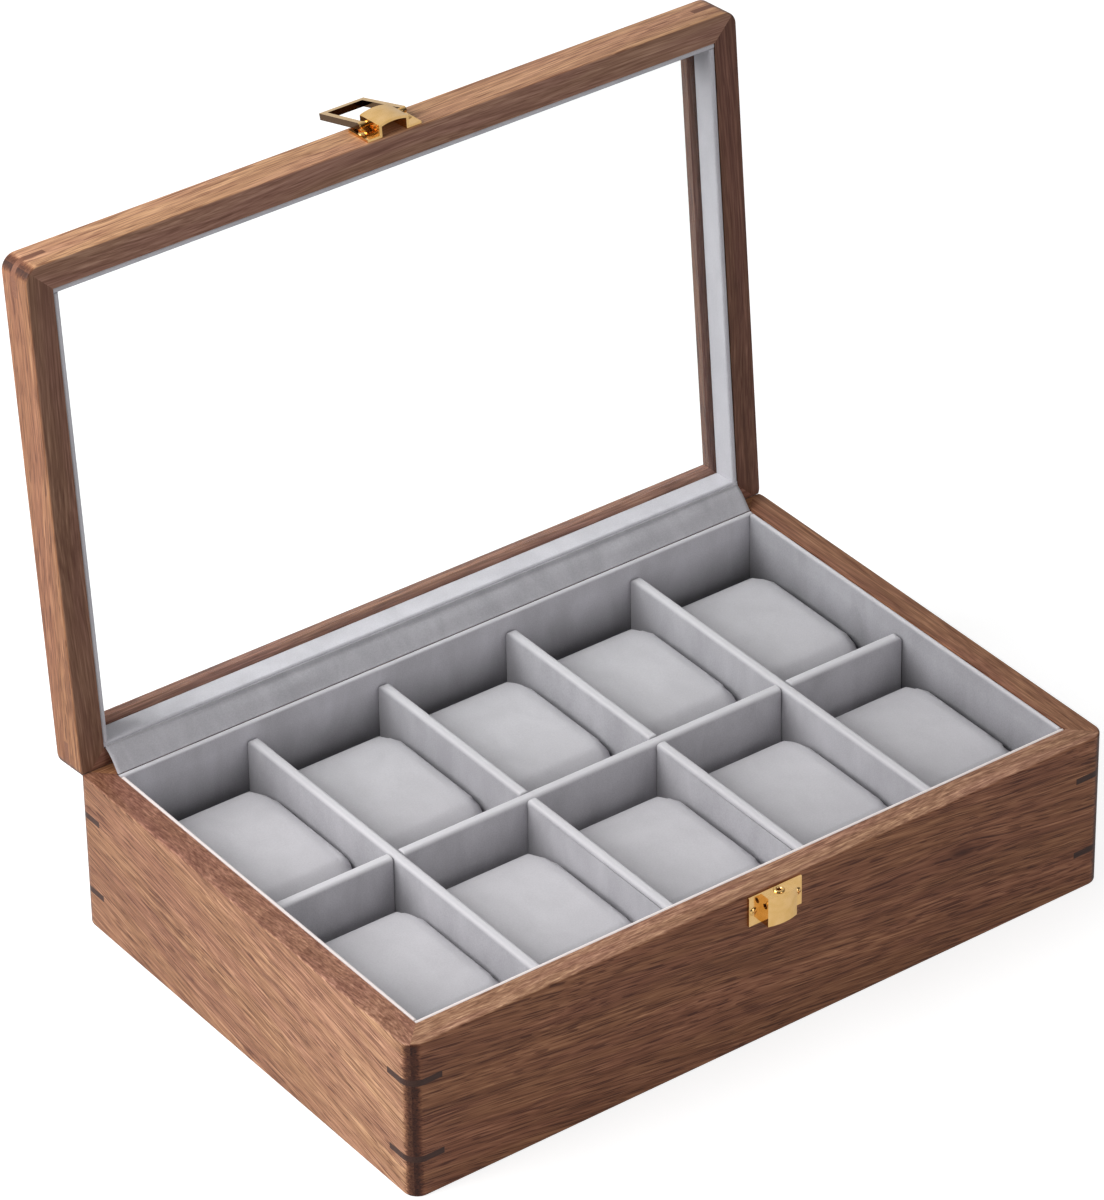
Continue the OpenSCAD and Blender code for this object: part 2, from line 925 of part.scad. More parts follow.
module latch_bail() {
    color("#d6a33a")
        opened()
            translate([latch_x, pivot_y, pivot_z])
                rotate([-bail_lean, 0, 0])
                    bail_shape();
}

base_front_wall();
base_back_wall();
base_left_wall();
base_right_wall();
base_panel();
base_felt();
base_corner_keys();
liner_floor();
liner_front();
liner_back();
liner_left();
liner_right();
divider_centre();
divider_cross_1();
divider_cross_2();
divider_cross_3();
divider_cross_4();
hinge_leaves_base();
hinge_pins();
hinge_screws_base();
hinge_cloth();
strike_plate();
strike_screws();
strike_eyelet();
lid_front_rail();
lid_back_rail();
lid_left_rail();
lid_right_rail();
lid_corner_keys();
glass_pane();
lid_liner_front();
lid_liner_back();
lid_liner_left();
lid_liner_right();
hinge_leaves_lid();
hinge_screws_lid();
latch_bracket();
latch_bracket_screws();
latch_eyelet();
latch_bail();
cushion_1();
cushion_2();
cushion_3();
cushion_4();
cushion_5();
cushion_6();
cushion_7();
cushion_8();
cushion_9();
cushion_10();
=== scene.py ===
# %% [markdown]
# # A walnut watch box, open
#
# The box is a shallow walnut tray for ten watches under a glazed lid. Its
# shape comes ready made as a frame of solids. This lesson dresses them in
# wood, velvet, brass and glass, and makes the soft pieces (ten cushions and
# the cloth over the hinges) that plain solids cannot show.
#
# The frame is loaded first and is never moved. Lengths are metres, X points
# to the right-hand wall, Y to the hinged back and Z up.

# %% Load the frame
import math

import bmesh
import bpy
import numpy as np
from mathutils import Matrix, Vector


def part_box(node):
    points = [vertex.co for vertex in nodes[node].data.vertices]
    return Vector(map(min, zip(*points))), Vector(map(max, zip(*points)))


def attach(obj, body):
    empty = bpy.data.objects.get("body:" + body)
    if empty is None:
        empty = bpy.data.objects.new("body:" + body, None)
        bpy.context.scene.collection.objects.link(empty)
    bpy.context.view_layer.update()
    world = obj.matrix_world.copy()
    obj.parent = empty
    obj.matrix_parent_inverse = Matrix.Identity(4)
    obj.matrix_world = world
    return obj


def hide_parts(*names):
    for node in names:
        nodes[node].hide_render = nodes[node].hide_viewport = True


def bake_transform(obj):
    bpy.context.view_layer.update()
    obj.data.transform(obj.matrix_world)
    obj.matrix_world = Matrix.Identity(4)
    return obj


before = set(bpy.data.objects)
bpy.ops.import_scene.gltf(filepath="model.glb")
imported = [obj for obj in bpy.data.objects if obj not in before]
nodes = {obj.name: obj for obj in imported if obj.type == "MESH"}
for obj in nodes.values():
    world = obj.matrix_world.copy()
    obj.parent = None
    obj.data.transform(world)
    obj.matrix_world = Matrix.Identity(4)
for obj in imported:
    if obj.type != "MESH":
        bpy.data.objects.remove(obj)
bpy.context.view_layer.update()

MM = 0.001

# %% [markdown]
# ## Camera
#
# The camera stands about two and a half metres off, to the left of the front
# and a third of a right angle above the table, with a long lens. A long lens
# from far away keeps the long edges of a box nearly parallel. A camera could
# be turned by three angles, but it is easier to aim by three unit vectors,
# right, up and back, which are the columns of its matrix.

# %% Aim the camera
AZIMUTH = math.radians(-36.0365)
ELEVATION = math.radians(33.2467)
ROLL = math.radians(-0.8651)
DISTANCE = 2.5625382
TARGET = np.array([0.0959782, 0.1461565, 0.034])

back = np.array([
    math.sin(AZIMUTH) * math.cos(ELEVATION),
    -math.cos(AZIMUTH) * math.cos(ELEVATION),
    math.sin(ELEVATION),
])
level = np.cross(-back, [0.0, 0.0, 1.0])
level /= np.linalg.norm(level)
upward = np.cross(level, -back)
right = level * math.cos(ROLL) + upward * math.sin(ROLL)
upward = upward * math.cos(ROLL) - level * math.sin(ROLL)

lens = bpy.data.cameras.new("camera")
lens.sensor_fit = "HORIZONTAL"
lens.sensor_width = 36
lens.lens = 209.522
lens.shift_x = -0.014061
lens.shift_y = -0.025844
lens.clip_end = 50
camera = bpy.data.objects.new("camera", lens)
bpy.context.scene.collection.objects.link(camera)
stand = np.eye(4)
stand[:3, 0], stand[:3, 1], stand[:3, 2] = right, upward, back
stand[:3, 3] = TARGET + back * DISTANCE
camera.matrix_world = Matrix(stand.tolist())
bpy.context.scene.camera = camera
bpy.context.scene.view_settings.view_transform = "Standard"
print("camera at", np.round(stand[:3, 3], 3))

# %% [markdown]
# ## Three helpers for materials
#
# Colours are written as the six-digit values that a paint chart gives. Those
# are coded for the eye, and a renderer works with amounts of light, so one
# function decodes them. A second function adds a node to a material with its
# settings and its links, and a third starts an empty material. Every material
# below is built with these.

# %% Colour, node and material helpers
def light_of(hex_code):
    """Amounts of red, green and blue light for a hex colour, and an alpha of 1.

    Each channel c in 0..1 becomes c / 12.92 below 0.04045, and otherwise
    ((c + 0.055) / 1.055) to the power 2.4."""
    coded = np.array([int(hex_code[i:i + 2], 16) for i in (1, 3, 5)]) / 255
    linear = np.where(coded <= 0.04045, coded / 12.92, ((coded + 0.055) / 1.055) ** 2.4)
    return (*linear.tolist(), 1.0)


def add(tree, kind, feeds=None, stops=None, **settings):
    """Adds one node. feeds sets or links its sockets, stops fills a colour ramp."""
    made = tree.nodes.new("ShaderNode" + kind)
    for name, value in settings.items():
        setattr(made, name, value)
    for name, value in (feeds or {}).items():
        if isinstance(value, bpy.types.NodeSocket):
            tree.links.new(value, made.inputs[name])
        else:
            made.inputs[name].default_value = value
    for i, (place, colour) in enumerate(stops or []):
        bar = made.color_ramp.elements
        stop = bar[i] if i < 2 else bar.new(place)
        stop.position, stop.color = place, light_of(colour)
    return made


def new_material(name, colour):
    """An empty material with its output node, and the plain colour that solid view shows."""
    made = bpy.data.materials.new(name)
    made.use_nodes = True
    made.node_tree.nodes.clear()
    made.diffuse_color = light_of(colour)
    return made, made.node_tree, made.node_tree.nodes.new("ShaderNodeOutputMaterial")


print("walnut brown as light", np.round(light_of("#7b5137")[:3], 3))

# %% [markdown]
# ## White studio
#
# The box stands in a white studio, whose pale walls give an even light. The
# white around the box is what the camera sees, not what lights the box: Light
# Path tells the two apart. Polished brass is mostly its surroundings, so
# mirrors see a studio that is white behind the box and darker in front, which
# gives the latch its bright and dark sides.

# %% World
AMBIENT = 0.3
world = bpy.data.worlds.new("white studio")
bpy.context.scene.world = world
world.use_nodes = True
sky = world.node_tree
sky.nodes.clear()
path = add(sky, "LightPath").outputs
seen = add(sky, "Math", {0: path["Is Camera Ray"], 1: path["Is Transmission Ray"]}, operation="MAXIMUM")
# mirrors: 0.22 + 0.4 z + 0.55 y along the direction they look in, within 0.1 and 1.5
toward = add(sky, "SeparateXYZ", {0: add(sky, "TexCoord").outputs["Generated"]}).outputs
rise = add(sky, "Math", {0: toward["Z"], 1: 0.4, 2: 0.22}, operation="MULTIPLY_ADD").outputs[0]
rise = add(sky, "Math", {0: toward["Y"], 1: 0.55, 2: rise}, operation="MULTIPLY_ADD").outputs[0]
gloss = add(sky, "Clamp", {"Value": rise, "Min": 0.1, "Max": 1.5}).outputs[0]
strength = add(sky, "Mix", {"Factor": path["Is Glossy Ray"], "A": AMBIENT, "B": gloss}, data_type="FLOAT")
strength = add(sky, "Mix", {"Factor": seen.outputs[0], "A": strength.outputs[0], "B": 1.0}, data_type="FLOAT")
backdrop = add(sky, "Background", {"Color": (1, 1, 1, 1), "Strength": strength.outputs[0]})
sky.links.new(backdrop.outputs[0], sky.nodes.new("ShaderNodeOutputWorld").inputs[0])
print("ambient level", AMBIENT)

# %% [markdown]
# ## Floor
#
# The floor is painted matt white. A paint that sends back all its light would
# brighten the box from below, so the paint is a middle grey, and it adds a
# little white for the camera and, in part, for mirrors. The light that it
# adds is steady, so the box keeps its soft shadow on it.

# %% Floor
FLOOR_GREY, FLOOR_LIFT, MIRROR_SHARE, FLOOR_HALF = 0.5, 0.78, 0.55, 9
floor_paint, tree, out = new_material("matt white studio paint", "#ffffff")
path = add(tree, "LightPath").outputs
seen = add(tree, "Math", {0: path["Is Camera Ray"], 1: path["Is Transmission Ray"]}, operation="MAXIMUM")
seen = add(tree, "Math", {0: path["Is Glossy Ray"], 1: MIRROR_SHARE, 2: seen.outputs[0]},
           operation="MULTIPLY_ADD")
paint = add(tree, "BsdfDiffuse", {"Color": (FLOOR_GREY, FLOOR_GREY, FLOOR_GREY, 1)})
lift = add(tree, "Mix", {"Factor": seen.outputs[0], "A": 0.0, "B": FLOOR_LIFT}, data_type="FLOAT")
glow = add(tree, "Emission", {"Color": (1, 1, 1, 1), "Strength": lift.outputs[0]})
both = add(tree, "AddShader", {0: paint.outputs[0], 1: glow.outputs[0]})
tree.links.new(both.outputs[0], out.inputs[0])

floor_mesh = bpy.data.meshes.new("studio_floor")
corners = [(x * FLOOR_HALF, y * FLOOR_HALF, 0) for x, y in ((-1, -1), (1, -1), (1, 1), (-1, 1))]
floor_mesh.from_pydata(corners, [], [(0, 1, 2, 3)])
floor_mesh.materials.append(floor_paint)
studio_floor = bpy.data.objects.new("studio_floor", floor_mesh)
bpy.context.scene.collection.objects.link(studio_floor)
print("floor, metres", 2 * FLOOR_HALF)

# %% [markdown]
# ## Lamps
#
# One large soft lamp stands to the left and a little behind, a third of a
# right angle up, so the left-hand faces are the brightest, the tops come next
# and the front is in half shade. A weaker panel in front lifts that shade.
# Watts say little about how bright a thing looks, so each lamp is given by the
# plain level that it lends a white card facing it. Where all light together
# comes to about 1, a colour renders about as it is written.

# %% Lamps
def soft_lamp(name, toward, distance, size, brightness):
    """A square lamp that faces the box from a direction.

    A lamp of P watts gives a white card that faces it from d metres away
    the plain level P / (pi d) squared, so P is that level times
    pi squared times d squared."""
    lamp = bpy.data.lights.new(name, "AREA")
    lamp.shape, lamp.size = "SQUARE", size
    lamp.energy = brightness * math.pi ** 2 * distance ** 2
    holder = bpy.data.objects.new(name, lamp)
    bpy.context.scene.collection.objects.link(holder)
    direction = Vector(toward).normalized()
    middle = Vector((0, 0, 0.1))
    turn = direction.to_track_quat("Z", "Y").to_matrix().to_4x4()
    holder.matrix_world = Matrix.Translation(middle + direction * distance) @ turn
    return holder


LEFT_LEVEL, FRONT_LEVEL = 1.33, 0.18
soft_lamp("left_panel", (-0.81, 0.3, 0.52), 1.2, 1.0, LEFT_LEVEL)
soft_lamp("front_panel", (0.1, -0.95, 0.3), 2.2, 1.2, FRONT_LEVEL)
print("level of a white card facing up, about", round(AMBIENT + LEFT_LEVEL * 0.52 + FRONT_LEVEL * 0.3, 2))

# %% [markdown]
# ## Walnut
#
# Black walnut, planed, sanded and given a satin oil finish. To the eye that
# is three things on top of each other: growth rings, which show as soft
# bands where a board cuts through them; fibres, fine streaks along the
# board; and open pores, short dark dashes a few tenths of a millimetre wide.
#
# A picture of wood could be laid on each face, but its lines would break at
# the edges. Wood is a solid, so here its pattern is worked out in space and
# the boards cut through it. Each board gets coordinates of its own in
# millimetres, with the grain along the first axis.

# %% Board coordinates
LID_OPEN = math.radians(94.5)


def grain_frame(node, slope):
    """Turn (as three angles) and shift that take a board's points to grain millimetres.

    A point p goes to R (1000 p) + t. R stands a lid board back upright, turns a
    side board to lie along X, and tips the grain by slope within the board's
    face. t brings the middle of the board to zero."""
    upright = Matrix.Rotation(LID_OPEN if node.startswith("lid") else 0.0, 3, "X")
    on_side = "left" in node or "right" in node
    quarter = Matrix.Rotation(-math.pi / 2 if on_side else 0.0, 3, "Z")
    tip = Matrix.Rotation(slope, 3, "Y")
    turn = tip @ quarter @ upright
    low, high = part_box(node)
    middle = (Vector(low) + Vector(high)) * 500
    return turn.to_euler("XYZ"), -(turn @ middle)


front_middle = -grain_frame("base_front_wall", 0.0)[1]
print("front wall's middle, mm", [round(v, 1) for v in front_middle])

# %% [markdown]
# ## Layers of darkness
#
# Every layer of the pattern is a number, and the layers add up to one
# darkness d. Wood that is darker by one unit sends back 0.63 of the red, 0.56
# of the green and 0.54 of the blue, so the colour is the body colour times
# (0.63, 0.56, 0.54) to the power d. That keeps dark streaks redder than light
# ones, as oil does.
#
# The first layers are a pin knot. Round the place where a twig grew, the
# grain swells out of the way and the heart of the twig is nearly black.

# %% Pin knot
KNOT_ALONG, KNOT_UP = 15, 5


def pin_knot(tree, grain, knot, slope):
    """The grain swollen round a knot, and the knot's two layers.

    r^2 is (along / 15 mm)^2 + (up / 5 mm)^2 from the knot. The swelling fades
    as exp(-r^2), and the heart as exp(-7 r^2)."""
    spot = Matrix.Rotation(slope, 3, "Y") @ Vector((knot[0], 0, knot[1]))
    away = add(tree, "Mapping", {
        "Vector": grain, "Scale": (1 / KNOT_ALONG, 0, 1 / KNOT_UP),
        "Location": (-spot.x / KNOT_ALONG, 0, -spot.z / KNOT_UP),
    }).outputs[0]
    reach = add(tree, "VectorMath", {0: away, 1: away}, operation="DOT_PRODUCT").outputs["Value"]
    reach = add(tree, "Math", {0: math.exp(-1), 1: reach}, operation="POWER").outputs[0]
    heart = add(tree, "Math", {0: reach, 1: 7.0}, operation="POWER").outputs[0]
    swell = add(tree, "VectorMath", {0: away, 1: (0, 0, -3.2)}, operation="MULTIPLY").outputs[0]
    swell = add(tree, "VectorMath", {0: swell, "Scale": reach}, operation="SCALE").outputs[0]
    grain = add(tree, "VectorMath", {0: grain, 1: swell}, operation="ADD").outputs[0]
    return grain, [(heart, 1.9), (reach, 0.3)]


print("knot, mm", KNOT_ALONG, "by", KNOT_UP)

# %% [markdown]
# ## Cuts across the fibres and planed edges
#
# Where a cut runs across the fibres, as on the rounded corners, the wood
# turns darker: partly the end grain's own tone and partly painted shade on
# the rounded corners. The planed top and bottom edges of a board have a
# colour of their own: partly their grain, which cuts the rings the other
# way, and partly painted light and shade for faces turned that way. Both are
# found from the direction in which the surface faces, turned into the
# board's own directions.

# %% Cuts and edges
# darkness across the fibres: partly the end grain's own tone, partly painted shade on the rounded corners
END_GRAIN_AND_SHADE = 3.5


def cuts(tree, turn):
    """How far the surface cuts across the fibres, and how far it is a planed edge, 0 to 1.

    With n the board's own direction of the surface, the first rises as |n along
    the grain| goes from 0.12 to 0.62, the second as |n across the edge| goes
    from 0.5 to 0.9."""
    facing = add(tree, "TexCoord").outputs["Normal"]
    facing = add(tree, "Mapping", {"Vector": facing, "Rotation": turn}, vector_type="VECTOR").outputs[0]
    facing = add(tree, "VectorMath", {0: facing}, operation="ABSOLUTE").outputs[0]
    facing = add(tree, "SeparateXYZ", {0: facing}).outputs
    end_grain_and_shade = add(tree, "MapRange", {"Value": facing["X"], "From Min": 0.12, "From Max": 0.62},
                  interpolation_type="SMOOTHSTEP").outputs[0]
    on_edge = add(tree, "MapRange", {"Value": facing["Z"], "From Min": 0.5, "From Max": 0.9},
                  interpolation_type="SMOOTHSTEP").outputs[0]
    return end_grain_and_shade, on_edge


print("an end cut adds a darkness of", END_GRAIN_AND_SHADE)

# %% [markdown]
# ## Growth rings
#
# On the faces the cut runs almost along the rings, so they show as broad
# bands: a noise of the depth below the face gives them. On the planed top
# edge of the left wall the rings curve across as arcs, each darkest where a
# season's growth ends. They are a saw-tooth along the board, bent by the
# square of the place across it.

# %% Growth rings
RINGS, RING_MM = 1.3, 26


def ring_layers(tree, bent, parts, wander, on_edge, contrast, arcs):
    """Bands on the faces and, where arcs is not zero, arcs on the planed edge.

    The arcs are the fraction of (x + 0.5 y + 0.07 y^2 + 60 n) / 26, with x
    along, y across and n the slow noise that bends the grain."""
    depth = add(tree, "VectorMath", {0: bent, 1: (0, 1.0, 0.35)}, operation="DOT_PRODUCT").outputs["Value"]
    bands = add(tree, "TexNoise", {"W": depth, "Scale": 0.3, "Detail": 2.0, "Roughness": 0.6},
                noise_dimensions="1D").outputs["Fac"]
    layers = [(bands, RINGS * contrast)]
    if arcs:
        bow = add(tree, "Math", {0: parts["Y"], 1: 0.07, 2: 0.5}, operation="MULTIPLY_ADD").outputs[0]
        bow = add(tree, "Math", {0: parts["Y"], 1: bow, 2: parts["X"]}, operation="MULTIPLY_ADD").outputs[0]
        bow = add(tree, "Math", {0: wander, 1: 60.0, 2: bow}, operation="MULTIPLY_ADD").outputs[0]
        bow = add(tree, "Math", {0: bow, 1: 1 / RING_MM}, operation="MULTIPLY").outputs[0]
        bow = add(tree, "Math", {0: bow}, operation="FRACT").outputs[0]
        line = add(tree, "MapRange", {"Value": bow, "From Min": 0.1, "From Max": 0.96}).outputs[0]
        line = add(tree, "Math", {0: line, 1: on_edge}, operation="MULTIPLY").outputs[0]
        layers += [(line, arcs)]
    return layers


print("rings on the edge every", RING_MM, "mm")

# %% [markdown]
# ## Streaks, fibres and pores
#
# Streaks are a few centimetres long and run where the wood took more colour.
# Fibres are finer. Real ones are a tenth of a millimetre wide, which would
# not show, so they are drawn 0.8 mm wide. Pores are short dark dashes that
# crowd in some streaks and are rare in others, and a planed edge shows few.

# %% Streaks, fibres and pores
STREAKS, FIBRES, PORES = 1.9, 3.6, 1.3


def fibre_layers(tree, bent, on_edge, contrast, streak_mm, pore_mm, seed):
    """The three fine layers, and the fibres and pores for the surface's relief.

    Each is noise stretched to its length and width. A pore shows where its own
    noise plus half the streaks passes 0.83, in full from 0.92."""
    streak_at = add(tree, "Mapping", {
        "Vector": bent, "Scale": (1 / streak_mm[0], 1 / streak_mm[1], 1 / streak_mm[1]),
        "Location": (seed, 0, 0),
    }).outputs[0]
    streaks = add(tree, "TexNoise", {
        "Vector": streak_at, "Scale": 1.0, "Detail": 3.0, "Roughness": 0.72}).outputs["Fac"]
    fibre_at = add(tree, "Mapping", {
        "Vector": bent, "Scale": (1 / 22, 1 / 0.8, 1 / 0.8), "Location": (seed, 0, 0)}).outputs[0]
    fibres = add(tree, "TexNoise", {
        "Vector": fibre_at, "Scale": 1.0, "Detail": 2.0, "Roughness": 0.6}).outputs["Fac"]

    pore_at = add(tree, "Mapping", {
        "Vector": bent, "Scale": (1 / pore_mm[0], 1 / pore_mm[1], 1 / pore_mm[1])}).outputs[0]
    pores = add(tree, "TexNoise", {"Vector": pore_at, "Scale": 1.0, "Detail": 0.0}).outputs["Fac"]
    crowd = add(tree, "Math", {0: streaks, 1: 0.5, 2: pores}, operation="MULTIPLY_ADD").outputs[0]
    pore = add(tree, "MapRange", {"Value": crowd, "From Min": 0.83, "From Max": 0.92},
               interpolation_type="SMOOTHSTEP").outputs[0]
    calm = add(tree, "Math", {0: on_edge, 1: -0.7, 2: 1.0}, operation="MULTIPLY_ADD").outputs[0]
    pore = add(tree, "Math", {0: pore, 1: calm}, operation="MULTIPLY").outputs[0]
    layers = [(streaks, STREAKS * contrast), (fibres, FIBRES * contrast), (pore, PORES * contrast)]
    return layers, fibres, pore


print("darkness of streaks, fibres and pores", STREAKS, FIBRES, PORES)

# %% [markdown]
# ## Walnut, put together
#
# The layers add up, the sum darkens the board's colour, and rosy patches
# tint it a little. Satin oil leaves a soft gloss that varies with the fibres,
# and a relief of a tenth of a millimetre.

# %% Walnut colour
DARKEN = np.array([0.63, 0.56, 0.54])


def walnut_colour(tree, bent, layers, on_edge, body, edge, contrast):
    """Body or edge colour times DARKEN to the power of the summed layers.

    The noises average one half; starting below zero by half their weights
    keeps the mean at the board's colour."""
    darkness = 1.0 - (RINGS + STREAKS + FIBRES) / 2 * contrast
    for layer, weight in layers:
        darkness = add(tree, "Math", {0: layer, 1: weight, 2: darkness}, operation="MULTIPLY_ADD").outputs[0]
    tint = add(tree, "Gamma", {"Color": (*DARKEN, 1), "Gamma": darkness}).outputs[0]
    # rosy patches, 90 mm long and 9 mm wide
    rose_at = add(tree, "Mapping", {"Vector": bent, "Scale": (1 / 90, 1 / 9, 1 / 9)}).outputs[0]
    rose = add(tree, "TexNoise", {"Vector": rose_at, "Scale": 1.0, "Detail": 2.0}).outputs["Fac"]
    rose = add(tree, "MapRange", {"Value": rose, "From Min": 0.42, "From Max": 0.62}).outputs[0]
    blush = add(tree, "Mix", {0: rose, 6: (1.0, 1.02, 0.97, 1), 7: (1.0, 0.97, 1.02, 1)},
                data_type="RGBA").outputs[2]
    # the edge colour is partly the planed edges' own tone and partly painted light and shade for faces turned
    # that way
    on_face, on_rim = np.array(light_of(body)[:3]) / DARKEN, np.array(light_of(edge)[:3]) / DARKEN
    base = add(tree, "Mix", {0: on_edge, 6: (*on_face, 1), 7: (*on_rim, 1)}, data_type="RGBA").outputs[2]
    base = add(tree, "Mix", {0: 1.0, 6: base, 7: blush}, data_type="RGBA", blend_type="MULTIPLY").outputs[2]
    return add(tree, "Mix", {0: 1.0, 6: base, 7: tint}, data_type="RGBA", blend_type="MULTIPLY").outputs[2]


print("one unit of darkness sends back", DARKEN)

# %% [markdown]
# The material itself ties these together. Its grain wanders by a few
# millimetres, as the tree's did, and every layer follows it.

# %% Walnut material
def walnut(name, node, body, edge, slope, contrast, seed, drift=0.0, arcs=0.0, knot=None,
           streak_mm=(90.0, 1.4), pore_mm=(12.0, 0.42)):
    """Walnut for one board, of the mean colour body on its faces and edge on its planed edges.

    slope tips the grain within the face, contrast scales the pattern, seed
    shifts it, and drift is the darkness gained per 100 mm along the board.
    arcs is the darkness of growth rings that curve across the edge, and knot
    the place of a pin knot from the face's middle, in mm along and up."""
    made, tree, out = new_material(name, body)
    turn, shift = grain_frame(node, slope)
    place = add(tree, "TexCoord").outputs["Object"]
    grain = add(tree, "Mapping", {
        "Vector": place, "Scale": (1000,) * 3, "Rotation": turn, "Location": shift}).outputs[0]
    layers = []
    if knot:
        grain, layers = pin_knot(tree, grain, knot, slope)
    parts = add(tree, "SeparateXYZ", {0: grain}).outputs
    layers += [(parts["X"], drift / 100)]
    wave_at = add(tree, "Mapping", {
        "Vector": grain, "Scale": (1 / 130, 1 / 50, 1 / 24), "Location": (seed, 0, 0)}).outputs[0]
    wander = add(tree, "TexNoise", {"Vector": wave_at, "Scale": 1.0, "Detail": 0.6, "Roughness": 0.4}).outputs
    bent = add(tree, "VectorMath", {0: wander["Color"], 1: (0, 9, 9), 2: grain},
               operation="MULTIPLY_ADD").outputs[0]

    end_grain_and_shade, on_edge = cuts(tree, turn)
    # end grain darkening, partly painted shade on the rounded corners
    layers += [(end_grain_and_shade, END_GRAIN_AND_SHADE)]
    layers += ring_layers(tree, bent, parts, wander["Fac"], on_edge, contrast, arcs)
    fine, fibres, pore = fibre_layers(tree, bent, on_edge, contrast, streak_mm, pore_mm, seed)
    layers += fine
    colour = walnut_colour(tree, bent, layers, on_edge, body, edge, contrast)

    height = add(tree, "Math", {0: pore, 1: -1.0, 2: fibres}, operation="MULTIPLY_ADD").outputs[0]
    bump = add(tree, "Bump", {"Height": height, "Strength": 0.25, "Distance": 0.00012}).outputs[0]
    rough = add(tree, "Math", {0: fibres, 1: 0.16, 2: 0.4}, operation="MULTIPLY_ADD").outputs[0]
    skin = add(tree, "BsdfPrincipled", {
        "Base Color": colour, "Roughness": rough, "Normal": bump, "Specular IOR Level": 0.24})
    tree.links.new(skin.outputs[0], out.inputs[0])
    return made


def dress(node, made):
    """Gives a solid of the frame its material."""
    nodes[node].data.materials.clear()
    nodes[node].data.materials.append(made)


print("walnut is ready")

# %% [markdown]
# ## Eight boards
#
# No two boards are alike. The front is strongly figured and has a pin knot,
# the left wall is paler with rings on its edge, and the lid's right rail is
# the darkest.

# %% Dress the boards
# edge colours: partly each board's own edge tone, partly painted light and shade for how its planed edges are
# lit
BOARDS = {
    "base_front_wall": dict(body="#89593f", edge="#9e745b", slope=-0.12, contrast=1.3, knot=(91, 9)),
    "base_back_wall": dict(body="#8a5c41", edge="#96674a", slope=0.04, contrast=1.2),
    "base_left_wall": dict(body="#9b6f53", edge="#9b6e59", slope=0.2, contrast=1.25, drift=0.4, arcs=0.4,
                           streak_mm=(48.0, 0.75), pore_mm=(9.0, 0.36)),
    "base_right_wall": dict(body="#84583f", edge="#875c44", slope=-0.05, contrast=1.1),
    "lid_front_rail": dict(body="#c1906d", edge="#97705d", slope=0.02, contrast=0.9),
    "lid_back_rail": dict(body="#8f6049", edge="#8b6250", slope=0.02, contrast=1.1),
    "lid_left_rail": dict(body="#8c5f43", edge="#805c4a", slope=0.03, contrast=1.0),
    "lid_right_rail": dict(body="#644330", edge="#6f4a3b", slope=-0.03, contrast=1.1),
}
for seed, (board, look) in enumerate(BOARDS.items(), 1):
    dress(board, walnut("oiled walnut " + board, board, seed=seed, **look))
print("walnut boards", len(BOARDS))

# %% [markdown]
# ## Corner splines and panel
#
# The thin tongues across the corners are smoked oak in the tray, a nearly
# black wood, and dark walnut in the lid. The panel under the tray is plywood
# with a pale face. Little of them shows, so straight fibres are enough: one
# stretched noise, turned into two colours by a ramp.

# %% Spline wood and plywood
def plain_wood(name, dark, pale, length_mm, width_mm):
    """Wood with straight fibres only: noise stretched to length_mm by width_mm."""
    made, tree, out = new_material(name, dark)
    place = add(tree, "TexCoord").outputs["Object"]
    stretch = (1000 / length_mm, 1000 / width_mm, 1000 / width_mm)
    fibre_at = add(tree, "Mapping", {"Vector": place, "Scale": stretch}).outputs[0]
    fibres = add(tree, "TexNoise", {
        "Vector": fibre_at, "Scale": 1.0, "Detail": 3.0, "Roughness": 0.6}).outputs["Fac"]
    colour = add(tree, "ValToRGB", {"Fac": fibres}, stops=[(0.3, dark), (0.75, pale)]).outputs["Color"]
    bump = add(tree, "Bump", {"Height": fibres, "Strength": 0.2, "Distance": 0.0001}).outputs[0]
    skin = add(tree, "BsdfPrincipled", {
        "Base Color": colour, "Roughness": 0.5, "Normal": bump, "Specular IOR Level": 0.3})
    tree.links.new(skin.outputs[0], out.inputs[0])
    return made


dress("base_corner_keys", plain_wood("smoked oak splines", "#2a150e", "#4a2b20", 6.0, 0.4))
dress("lid_corner_keys", plain_wood("dark walnut splines", "#6a4230", "#8a5b43", 6.0, 0.4))
dress("base_panel", plain_wood("birch plywood", "#a58a69", "#c8ae8a", 60.0, 1.6))
print("plain woods", 3)

# %% [markdown]
# ## Felt
#
# Below the panel is a sheet of short-haired brown felt, which keeps the box
# from scratching a table. Felt is matted wool without a direction, so its
# noise isn't stretched: tufts about 1.5 mm across, with finer detail inside
# them for the hairs, and a little sheen where they stand up.

# %% Felt
TUFTS_PER_METRE = 650.0
felt, tree, out = new_material("pressed wool felt", "#4b3a31")
place = add(tree, "TexCoord").outputs["Object"]
tufts = add(tree, "TexNoise", {
    "Vector": place, "Scale": TUFTS_PER_METRE, "Detail": 4.0, "Roughness": 0.7}).outputs["Fac"]
colour = add(tree, "ValToRGB", {"Fac": tufts}, stops=[(0.3, "#3a2b24"), (0.7, "#5c483d")]).outputs["Color"]
bump = add(tree, "Bump", {"Height": tufts, "Strength": 0.6, "Distance": 0.0003}).outputs[0]
skin = add(tree, "BsdfPrincipled", {
    "Base Color": colour, "Roughness": 0.95, "Normal": bump, "Sheen Weight": 0.25, "Specular IOR Level": 0.2})
tree.links.new(skin.outputs[0], out.inputs[0])
dress("base_felt", felt)
print("felt tufts, mm", round(1000 / TUFTS_PER_METRE, 2))

